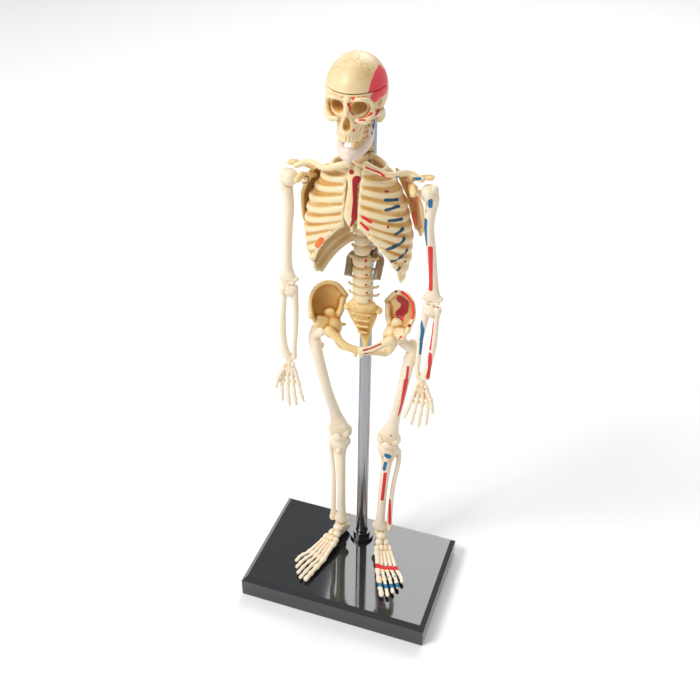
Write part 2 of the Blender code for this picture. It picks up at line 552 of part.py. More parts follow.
def arm(side, hand, splay, tuck):
    """Upper arm, forearm with both bones, and hand; each plugs onto the next by a peg."""
    joint = np.array([SHOULDER_HALF_SPAN, SHOULDER_Y, SHOULDER_Z])
    elbow = np.array([SHOULDER_HALF_SPAN + splay, ELBOW_Y, ELBOW_Z])
    wrist = np.array([SHOULDER_HALF_SPAN + splay - tuck, WRIST_Y, WRIST_Z])
    head = HUMERUS_HEAD_RADIUS
    upper = bone([joint + (0.2, 0, head - 0.2), joint + (0.2, 0, 0), joint + (0.6, 0.4, -5.0),
                  (joint + elbow) / 2 + (0.4, 0, 0), elbow + (0, 0, 8.0), elbow + (0, 0, 3.4),
                  elbow + (0, 0, 0.9)],
                 [(1.6, 1.6), (head, head), (1.9, 1.9), (1.35, 1.45), (1.7, 1.4), (4.0, 1.8), (3.6, 1.9)],
                 17, 10)
    pin = rod(joint + (-6.0, 0, 0), joint, PEG_RADIUS, 12)
    socket = rod(elbow, elbow + (0, 0, PEG_LENGTH + 1.8), PEG_RADIUS + GAP, 12)

    top = elbow + (0, 0, -0.5)
    low = wrist + (0, 0, 0.9)
    block = bone([top, top + (0, 0, -1.8), top + (0, 0, -3.4)], [(3.4, 1.9), (3.6, 2.1), (2.4, 1.7)], 5, 10)
    ulna = bone([top + (-1.9, 0.2, -1.2), top + (-2.2, 0.6, -9.0), (top + low) / 2 + (-2.4, 0.6, 0),
                 low + (-1.7, 0.2, 1.2)], [(1.5, 1.6), (1.1, 1.2), (0.95, 1.0), (1.1, 1.1)], 10, 8)
    radius_bone = bone([top + (1.9, -0.2, -1.2), top + (2.1, -0.2, -9.0), (top + low) / 2 + (2.6, -0.2, 0),
                        low + (1.3, 0, 1.2)], [(1.4, 1.4), (0.95, 0.95), (1.1, 1.0), (1.6, 1.3)], 10, 8)
    lower_block = bone([low + (0, 0, 2.2), low + (0, 0, 1.0), low],
                       [(2.2, 1.1), (2.7, 1.3), (2.5, 1.2)], 4, 10)
    elbow_peg = rod(top + (0, 0, -1.5), top + (0, 0, PEG_LENGTH + 0.4), PEG_RADIUS, 12)
    wrist_socket = rod(low + (0, 0, -1), low + (0, 0, PEG_LENGTH + 0.9), PEG_RADIUS * 0.8 + GAP, 12)

    palm_top = low + (0, 0, -0.5)
    scale = HAND_LENGTH / 21.5
    carpus = bone([palm_top, palm_top + (0, -0.2, -3.0 * scale), palm_top + (0.3, -0.4, -6.0 * scale),
                   palm_top + (0.4, -0.5, -9.0 * scale)],
                  [(2.2, 1.1), (2.9, 1.2), (3.3, 0.9), (3.4, 0.8)], 6, 10)
    wrist_peg = rod(palm_top + (0, 0, -1.5), palm_top + (0, 0, PEG_LENGTH + 0.1), PEG_RADIUS * 0.8, 10)
    fingers = []
    for index, reach in enumerate((19.2, 21.0, 20.4, 18.0)):
        x = 2.7 - 1.95 * index
        fingers.append(finger(palm_top + (x, -0.5, -8.0 * scale),
                              palm_top + (x * 1.55 - 1.6, -1.0, -reach * scale), 0.72))
    thumb = finger(palm_top + (2.0, -0.8, -3.0 * scale), palm_top + (5.4, -2.6, -12.5 * scale), 0.78)
    piece("humerus_" + side, "ivory_plastic", [upper, pin], [socket], joint, hand)
    piece("forearm_" + side, "ivory_plastic", [block, ulna, radius_bone, lower_block, elbow_peg],
          [wrist_socket], elbow, hand)
    piece("hand_" + side, "ivory_plastic", [carpus, wrist_peg, thumb] + fingers, (), wrist, hand)


# ---- pelvis and legs ----
def pelvis():
    """Two hip bones, each a wing above the socket and a ring below it."""
    hip = np.array([HIP_HALF_SPAN, HIP_Y, HIP_Z])
    crest_z = HIP_Z + PELVIS_CREST_RISE
    wide = PELVIS_HALF_WIDTH
    crest = curve([(wide - 0.6, hip[1] - 4.8, crest_z - 8.4), (wide, hip[1] - 1.0, crest_z - 3.6),
                   (wide - 2.4, hip[1] + 3.0, crest_z - 0.6), (wide - 8.0, hip[1] + 5.2, crest_z),
                   (SACRUM_HALF_WIDTH + 1.0, hip[1] + 5.6, crest_z - 6.5)], 7)
    neck = curve([(hip[0] + 3.3, hip[1] - 3.3, hip[2] + 2.6), (hip[0] + 2.9, hip[1], hip[2] + 4.0),
                  (hip[0] - 1.5, hip[1] + 2.6, hip[2] + 4.6), (hip[0] - 4.6, hip[1] + 4.2, hip[2] + 4.0)], 7)
    v = np.linspace(0, 1, 5)[:, None, None]
    bulge = np.sin(math.pi * v) * np.array([0.9, 0.9, 0.0])
    wing = slab(neck[None] * (1 - v) + crest[None] * v + bulge, 1.3)
    cup = ellipsoid(hip + (-1.3, 0, 0.3), (4.0, 4.6, 4.8), 10, 7)
    link = bone([hip + (-2.6, 2.2, 3.4), hip + (-4.2, 3.6, 6.0),
                 (SACRUM_HALF_WIDTH + 1.4, hip[1] + 4.2, hip[2] + 11.0)],
                [(1.6, 1.9), (1.3, 2.4), (1.2, 2.6)], 6, 8, (1.0, 0.0, 0.0))
    pubis = bone([hip + (-2.2, -2.2, -0.8), hip + (-7.0, -5.2, -2.4),
                  (0.5 + GAP, hip[1] - 5.8, hip[2] - 6.0)],
                 [(1.8, 1.7), (1.3, 1.3), (1.2, 2.2)], 7, 8, (0.0, 0.0, 1.0))
    ischium = bone([hip + (-1.8, 2.2, -2.4), hip + (-2.4, 3.6, -9.0), hip + (-4.2, 2.4, -13.0),
                    hip + (-8.0, -1.6, -11.4), (1.2 + GAP, hip[1] - 5.4, hip[2] - 7.2)],
                   [(2.0, 2.0), (1.9, 1.9), (1.6, 1.5), (1.0, 1.0), (1.0, 1.2)], 12, 8, (1.0, 0.0, 0.3))
    socket = ellipsoid(hip, (FEMUR_HEAD_RADIUS + GAP + 0.2,) * 3, 12, 9)
    mouth = sweep([hip, hip + (2.0, 0.2, -0.6), hip + (5.0, 0.5, -2.0)],
                  [(2.6, 2.6), (3.2, 3.2), (4.6, 4.6)], 10, (0.0, 1.0, 0.0))
    for side, hand in (("left", 1), ("right", -1)):
        piece("hip_bone_" + side, "pelvis_plastic", [cup, wing, link, pubis, ischium], [socket, mouth],
              hand=hand)


def foot_shape():
    """Foot with heel, instep and five toes, turned outwards about the ankle."""
    sole = BASE_HEIGHT + SOLE_CLEARANCE
    scale = FOOT_LENGTH / 37.0
    wide = FOOT_HALF_WIDTH
    heel, ball = 4.9 * scale, -15.0 * scale

    def ring(y, half, height, shift):
        """D-shaped section, flat on the sole."""
        angle = np.linspace(0, math.pi, 7)
        return [(shift + half * math.cos(a), y, sole + height * math.sin(a) ** 0.7) for a in angle]

    body = loft([ring(heel, 1.1, 3.0, 0), ring(heel - 1.2, 1.9, 5.0, 0),
                 ring(1.5, 2.5, FOOT_HEIGHT - 1.0, 0),
                 ring(-2.0, 3.0, FOOT_HEIGHT - 1.2, 0), ring(-7.0, 3.8, 5.6, 0.3),
                 ring(ball, wide - 0.8, 2.6, 0.5)])
    ankle_block = rod((0, 0, sole + 3.0), (0, 0, sole + FOOT_HEIGHT - GAP), 2.6, 12)
    peg = rod((0, 0, sole + FOOT_HEIGHT - 2.0), (0, 0, sole + FOOT_HEIGHT + PEG_LENGTH), PEG_RADIUS, 12)
    toes = []
    tips = (-31.4, -32.1, -30.6, -28.4, -25.6)
    for index, tip in enumerate(tips):
        x = -wide + 1.5 + index * (2 * wide - 2.4) / 4 + 0.4
        radius = 1.35 if index == 0 else 0.85
        toes.append(finger((x * 0.8, ball + 3.0, sole + radius + 0.5),
                           (x * 1.08, tip * scale, sole + radius), radius))
    turn = math.radians(TOE_OUT)
    spin = np.array([[math.cos(turn), -math.sin(turn), 0], [math.sin(turn), math.cos(turn), 0], [0, 0, 1]])
    place = np.array([ANKLE_HALF_SPAN, ANKLE_Y, 0])
    return [(np.asarray(p) @ spin.T + place, f) for p, f in [body, ankle_block, peg] + toes]


def legs():
    """Thigh bone, knee cap, shin with both bones, and foot."""
    hip = np.array([HIP_HALF_SPAN, HIP_Y, HIP_Z])
    knee = np.array([KNEE_HALF_SPAN, KNEE_Y, KNEE_Z])
    ankle = np.array([ANKLE_HALF_SPAN, ANKLE_Y, ANKLE_Z])
    trochanter = np.array([TROCHANTER_HALF_SPAN - 2.1, HIP_Y + 1.2, HIP_Z - 5.4])
    wide = CONDYLE_HALF_WIDTH
    ball = ellipsoid(hip, (FEMUR_HEAD_RADIUS,) * 3, 12, 7)
    neck = bone([hip + (0.6, 0.1, -0.4), (hip + trochanter) / 2, trochanter],
                [(1.8, 1.8), (1.5, 1.7), (1.6, 1.9)], 5, 8, (0.0, 1.0, 0.0))
    shaft = bone([trochanter + (0, 0, 1.6), trochanter + (0, 0, -2.4), trochanter + (-0.6, 0, -9.0),
                  (trochanter + knee) / 2 + (0.8, -1.0, 0), knee + (0, 0, 12.0), knee + (0, 0, 4.6),
                  knee + (0, 0, 0.8)],
                 [(1.2, 1.2), (2.1, 2.0), (1.9, 1.9), (1.75, 1.9), (2.2, 2.0), (wide, 3.4), (wide - 0.6, 3.2)],
                 17, 10)
    knee_peg = rod(knee + (0, 0, 2.5), knee + (0, 0, -PEG_LENGTH), PEG_RADIUS, 12)
    cap_y = knee[1] - 3.4 - GAP - 1.1
    knee_cap = ellipsoid((knee[0], cap_y, knee[2] + 3.6), (2.1, 1.0, 2.3), 10, 7)

    top = knee + (0, 0, -0.2)
    low = ankle + (0, 0, 0.5)
    tibia = bone([top, top + (0, 0, -2.4), top + (-0.4, -0.2, -8.0), (top + low) / 2 + (-0.4, -0.4, 0),
                  low + (0, 0, 5.0), low + (0, 0, 1.8), low],
                 [(wide - 0.5, 3.2), (wide - 0.7, 3.1), (2.1, 2.1), (1.55, 1.75), (1.9, 1.8),
                  (3.4, 2.5), (3.2, 2.3)],
                 15, 10)
    fibula = bone([top + (wide - 1.2, 1.6, -3.2), top + (wide - 0.6, 2.0, -9.0),
                   (top + low) / 2 + (3.6, 1.4, 0), low + (3.8, 0.8, 4.0), low + (4.0, 0.4, 0.2)],
                  [(1.3, 1.3), (0.85, 0.85), (0.8, 0.8), (1.0, 1.0), (1.1, 1.2)], 11, 8)
    knee_socket = rod(top + (0, 0, 1), top + (0, 0, -PEG_LENGTH - 0.8), PEG_RADIUS + GAP, 12)
    ankle_socket = rod(low + (0, 0, -1.5), low + (0, 0, PEG_LENGTH + 0.8), PEG_RADIUS + GAP, 12)
    for side, hand in (("left", 1), ("right", -1)):
        piece("femur_" + side, "ivory_plastic", [ball, neck, shaft, knee_peg], (), hip, hand)
        piece("patella_" + side, "ivory_plastic", [knee_cap], (), (knee[0], cap_y, knee[2] + 3.6), hand)
        piece("shin_" + side, "ivory_plastic", [tibia, fibula], [knee_socket, ankle_socket], knee, hand)
        piece("foot_" + side, "ivory_plastic", foot_shape(), (), ankle, hand)


def main():
    """Clear the scene and build the model."""
    for item in list(bpy.data.objects):
        bpy.data.objects.remove(item)
    figure_empty()
    stand()
    skull()
    spine()
    ribs_and_sternum()
    shoulder_girdle()
    arm("left", 1, LEFT_ARM_SPLAY, LEFT_FOREARM_TUCK)
    arm("right", -1, RIGHT_ARM_SPLAY, RIGHT_FOREARM_TUCK)
    pelvis()
    legs()


main()
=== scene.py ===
# %% [markdown]
# # A desk-top human skeleton on its stand
# The real object is a small teaching model: moulded plastic bones, stained amber in their hollows,
# hung on a bright pole above a polished black base. Muscle areas are painted on its left side.
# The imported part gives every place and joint, so the first step is to load it and keep its size.

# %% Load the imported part
import json
import math

import bpy
import mathutils
import numpy as np
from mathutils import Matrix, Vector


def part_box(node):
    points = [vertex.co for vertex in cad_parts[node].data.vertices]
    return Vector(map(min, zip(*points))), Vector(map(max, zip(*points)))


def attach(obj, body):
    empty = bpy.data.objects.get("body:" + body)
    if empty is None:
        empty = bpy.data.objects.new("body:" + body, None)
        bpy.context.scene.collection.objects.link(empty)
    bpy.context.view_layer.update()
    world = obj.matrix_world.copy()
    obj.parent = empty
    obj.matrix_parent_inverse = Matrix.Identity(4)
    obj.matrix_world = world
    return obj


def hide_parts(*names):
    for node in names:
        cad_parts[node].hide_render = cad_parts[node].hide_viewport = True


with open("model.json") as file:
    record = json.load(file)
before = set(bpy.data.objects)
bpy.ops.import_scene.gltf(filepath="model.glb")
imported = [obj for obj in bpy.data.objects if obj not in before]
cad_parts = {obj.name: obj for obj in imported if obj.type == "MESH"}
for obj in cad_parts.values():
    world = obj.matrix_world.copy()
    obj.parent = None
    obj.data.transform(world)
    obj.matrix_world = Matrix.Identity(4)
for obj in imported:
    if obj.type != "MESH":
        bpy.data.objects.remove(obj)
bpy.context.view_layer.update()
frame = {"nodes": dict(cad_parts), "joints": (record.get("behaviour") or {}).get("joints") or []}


# %% [markdown]
# ## The figure's own millimetres
# The figure is turned a few degrees on its pole. Bones are easier to shape when left and right
# mirror each other, so every bone is worked out in millimetres in the figure's own frame, where
# x = 0 is its middle, and is turned about the pole's axis when its mesh is made.

# %% Joint places and the turn about the pole
MM = 0.001
JOINTS = {joint["name"]: joint for joint in frame["joints"]}
POLE_LOW, POLE_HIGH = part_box("support_pole")
POLE_Y = (POLE_LOW.y + POLE_HIGH.y) / 2 / MM
POLE_RADIUS = (POLE_HIGH.x - POLE_LOW.x) / 2 / MM
TURN = math.atan2(JOINTS["jaw_open"]["axis"][1], JOINTS["jaw_open"]["axis"][0])


def to_metres(points):
    """Figure millimetres turned about the pole by TURN, in metres."""
    points = np.asarray(points, dtype=float)
    x, y = points[..., 0], points[..., 1] - POLE_Y
    return np.stack([math.cos(TURN) * x - math.sin(TURN) * y,
                     POLE_Y + math.sin(TURN) * x + math.cos(TURN) * y, points[..., 2]], axis=-1) * MM


def to_figure(points):
    """The opposite of to_metres."""
    points = np.asarray(points, dtype=float) / MM
    x, y = points[..., 0], points[..., 1] - POLE_Y
    return np.stack([math.cos(TURN) * x + math.sin(TURN) * y,
                     POLE_Y - math.sin(TURN) * x + math.cos(TURN) * y, points[..., 2]], axis=-1)


def at(joint):
    """A joint's place in figure millimetres."""
    return to_figure(JOINTS[joint]["pos_m"])


NECK = at("skull_turn")
JAW = at("jaw_open")
SHOULDER = at("shoulder_swing_left")
HIP = at("hip_swing_left")
KNEE = at("knee_turn_left")
ANKLE = at("ankle_turn_left")
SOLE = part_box("foot_left")[0].z / MM
BASE_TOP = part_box("base_plate")[1].z / MM
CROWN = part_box("skull_cap")[1].z / MM
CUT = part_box("skull_base")[1].z / MM
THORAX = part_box("thoracic_spine")[1].z / MM
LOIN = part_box("lumbar_spine")[1].z / MM
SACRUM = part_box("sacrum")[1].z / MM
SPINE_Y = NECK[1] + 4.6
print("turn %.1f degrees, neck" % math.degrees(TURN), NECK.round(2), "hip", HIP.round(2),
      "top of base %.1f mm" % BASE_TOP)


# %% [markdown]
# ## Surfaces from curves
# A bone is mostly a tube whose thickness changes along its length. Each tube is a grid: one
# direction runs along a smooth curve through a few points, the other goes round it. A solid is
# kept as its points and its faces, so many of them can be joined in one mesh.

# %% Curves, tubes, balls and plates
def unit(vectors):
    """Vectors divided by their own length."""
    return vectors / np.linalg.norm(vectors, axis=-1, keepdims=True)


def curve(points, count):
    """Catmull-Rom curve: every span is a cubic whose slopes come from its neighbours."""
    points = np.asarray(points, dtype=float)
    padded = np.vstack([2 * points[0] - points[1], points, 2 * points[-1] - points[-2]])
    t = np.linspace(0, len(points) - 1, count)
    i = np.minimum(t.astype(int), len(points) - 2)
    f = (t - i)[:, None]
    a, b, c, d = padded[i], padded[i + 1], padded[i + 2], padded[i + 3]
    return 0.5 * (2 * b + (c - a) * f + (2 * a - 5 * b + 4 * c - d) * f ** 2
                  + (3 * b - a - 3 * c + d) * f ** 3)


def ring_solid(rings):
    """Closed solid through rings of points: quads between rows and one face over each end."""
    rows, columns = rings.shape[:2]
    r, c = np.arange(rows - 1)[:, None], np.arange(columns)[None, :]
    a, b = r * columns + c, r * columns + (c + 1) % columns
    faces = np.stack([a, b, b + columns, a + columns], axis=-1).reshape(-1, 4).tolist()
    faces.append(list(range(columns))[::-1])
    faces.append(list(range((rows - 1) * columns, rows * columns)))
    return rings.reshape(-1, 3), faces


def tube(points, widths, rows=20, sides=12, side=(1.0, 0.0, 0.0), ends=True):
    """Centre curve plus side * a * cos(angle) + across * b * sin(angle); ends close as half balls."""
    path, half = curve(points, rows), np.abs(curve(widths, rows))
    if ends:
        k = np.array([0.3, 0.6, 0.82, 0.96])
        first, last = unit(path[0] - path[1]), unit(path[-1] - path[-2])
        shrink = np.sqrt(1 - k ** 2)[:, None]
        path = np.vstack([(path[0] + first * half[0].min() * k[:, None])[::-1], path,
                          path[-1] + last * half[-1].min() * k[:, None]])
        half = np.vstack([(half[0] * shrink)[::-1], half, half[-1] * shrink])
    tangent = unit(np.gradient(path, axis=0))
    side = np.broadcast_to(np.asarray(side, dtype=float), path.shape)
    side = unit(side - tangent * np.sum(side * tangent, axis=1, keepdims=True))
    across = np.cross(tangent, side)
    angle = np.arange(sides) * 2 * math.pi / sides
    return ring_solid(path[:, None] + side[:, None] * (half[:, 0, None] * np.cos(angle))[..., None]
                      + across[:, None] * (half[:, 1, None] * np.sin(angle))[..., None])


def ball(centre, radii, rows=13, sides=18):
    """Ellipsoid: radius sin(polar) round the upright axis, height -cos(polar)."""
    polar = np.linspace(0.08, math.pi - 0.08, rows)[:, None]
    angle = np.arange(sides)[None, :] * 2 * math.pi / sides
    unit_ball = np.stack([np.sin(polar) * np.cos(angle), np.sin(polar) * np.sin(angle),
                          -np.cos(polar) + 0 * angle], axis=-1)
    return ring_solid(np.asarray(centre, dtype=float) + unit_ball * np.asarray(radii, dtype=float))


def plate(grid, thickness):
    """Wall about a grid of points: the grid moved half a thickness along its normal, both ways."""
    normal = unit(np.cross(np.gradient(grid, axis=0), np.gradient(grid, axis=1)))
    thickness = np.asarray(thickness, dtype=float)
    thickness = thickness[..., None] if thickness.ndim else thickness
    outer, inner = grid + normal * thickness / 2, grid - normal * thickness / 2
    rows, columns = grid.shape[:2]
    r, c = np.arange(rows - 1)[:, None], np.arange(columns - 1)[None, :]
    a = r * columns + c
    quad = np.stack([a, a + 1, a + columns + 1, a + columns], axis=-1).reshape(-1, 4)
    rim = np.concatenate([np.arange(columns), np.arange(1, rows) * columns + columns - 1,
                          (rows - 1) * columns + np.arange(columns - 2, -1, -1),
                          np.arange(rows - 2, 0, -1) * columns])
    after = np.roll(rim, -1)
    edge = np.stack([after, rim, rim + rows * columns, after + rows * columns], axis=-1)
    faces = np.vstack([quad, quad[:, ::-1] + rows * columns, edge]).tolist()
    return np.vstack([outer.reshape(-1, 3), inner.reshape(-1, 3)]), faces


def block(low, high):
    """Upright box between two corners."""
    x, y = (low[0], high[0]), (low[1], high[1])
    outline = np.array([(x[0], y[0]), (x[1], y[0]), (x[1], y[1]), (x[0], y[1])])
    return ring_solid(np.stack([np.column_stack([outline, np.full(4, z)]) for z in (low[2], high[2])]))


def slimmer(solids, share):
    """Solids with their widths across the figure multiplied by share."""
    return [(np.asarray(points) * (share, 1, 1), faces) for points, faces in solids]


def mirrored(solids, hand):
    """The solids for the left (hand 1), or their mirror image in x = 0 for the right (hand -1)."""
    if hand > 0:
        return list(solids)
    return [(points * (-1, 1, 1), [face[::-1] for face in faces]) for points, faces in solids]


# %% [markdown]
# ## From many tubes to one moulding
# A real bone has no seams where its parts meet. The tubes of a bone overlap, and a voxel remesh
# melts them into one skin. Cuts, such as the eye sockets, are taken away with a Boolean between
# two remeshes. A light smoothing then takes the grain off without thinning the bone: it averages
# each point with its neighbours, then steps back by nearly as much.

# %% Mesh making, melting and smoothing
SMOOTH_IN, SMOOTH_OUT = 0.5, 0.52     # share of a step towards the neighbours, then of one back
SOFTEN = 0.6                          # share of a step that wears a copy down, to find the hollows
HOLLOW_STEPS = {7: 2.2, 39: 1.0}      # steps after which the depth is read, each with its weight


def make_mesh(name, solids):
    """One mesh of many solids, in metres."""
    points, faces, start = [], [], 0
    for solid_points, solid_faces in solids:
        points.append(solid_points)
        faces += [[i + start for i in face] for face in solid_faces]
        start += len(solid_points)
    mesh = bpy.data.meshes.new(name)
    mesh.from_pydata(to_metres(np.vstack(points)).tolist(), [], faces)
    return mesh


def melted(name, mesh, grain, cutter=None):
    """The mesh after a voxel remesh, and after a cut and a second remesh if there is a cutter."""
    item = bpy.data.objects.new(name, mesh)
    bpy.context.scene.collection.objects.link(item)
    steps = ["REMESH"] if cutter is None else ["REMESH", "BOOLEAN", "REMESH"]
    for kind in steps:
        step = item.modifiers.new(kind.lower(), kind)
        if kind == "REMESH":
            step.mode = "VOXEL"
            step.voxel_size = grain * MM
        else:
            step.operation = "DIFFERENCE"
            step.solver = "MANIFOLD"
            step.object = cutter
    result = bpy.data.meshes.new_from_object(item.evaluated_get(bpy.context.evaluated_depsgraph_get()))
    bpy.data.objects.remove(item)
    return result


def neighbours_of(mesh):
    """A function that gives the mean of each point's neighbours."""
    ends = np.empty(len(mesh.edges) * 2, dtype=np.int32)
    mesh.edges.foreach_get("vertices", ends)
    a, b = ends.reshape(-1, 2).T
    count = np.maximum(np.bincount(np.concatenate([a, b]), minlength=len(mesh.vertices)), 1)

    def mean(values):
        """Sum over both ends of every edge, divided by the number of edges."""
        size = len(count)
        total = np.stack([np.bincount(a, values[b, k], size) + np.bincount(b, values[a, k], size)
                          for k in range(values.shape[1])], axis=1)
        return total / count[:, None]
    return mean


def get_points(mesh):
    """Points of a mesh as an array."""
    points = np.empty(len(mesh.vertices) * 3, dtype=np.float32)
    mesh.vertices.foreach_get("co", points)
    return points.reshape(-1, 3).astype(float)


def write_attribute(mesh, name, values):
    """One number for each point, which a material can read."""
    layer = mesh.attributes.get(name) or mesh.attributes.new(name, "FLOAT", "POINT")
    layer.data.foreach_set("value", np.asarray(values, dtype=np.float32))


def finish_bone(mesh, passes=3, carve=None):
    """Smooth, carve if asked, and store how hollow the skin is at each point."""
    mean = neighbours_of(mesh)
    points = get_points(mesh)
    for _ in range(passes):
        points += SMOOTH_IN * (mean(points) - points)
        points -= SMOOTH_OUT * (mean(points) - points)
    mesh.vertices.foreach_set("co", points.astype(np.float32).ravel())
    mesh.update()
    normals = np.empty(len(points) * 3, dtype=np.float32)
    mesh.vertex_normals.foreach_get("vector", normals)
    normals = normals.reshape(-1, 3)
    if carve is not None:
        points += normals * carve(to_figure(points))[:, None] * MM
        mesh.vertices.foreach_set("co", points.astype(np.float32).ravel())
        mesh.update()
    soft = points.copy()
    hollow = np.zeros(len(points))
    for step in range(max(HOLLOW_STEPS) + 1):
        soft += SOFTEN * (mean(soft) - soft)
        if step in HOLLOW_STEPS:
            depth = np.sum((soft - points) * normals, axis=1) / MM
            hollow += np.clip(depth * HOLLOW_STEPS[step], -0.5, 1.0)
    write_attribute(mesh, "hollow", mean(hollow[:, None])[:, 0])


# %% [markdown]
# ## Painted muscle areas
# Red and orange areas stand for the places where muscles start, blue ones for where they end.
# Nearly all of them are on the figure's left. Each area is a stroke: a line of a few points on the
# bone, in figure millimetres, with half its width. Skin nearer to the line than that is painted.

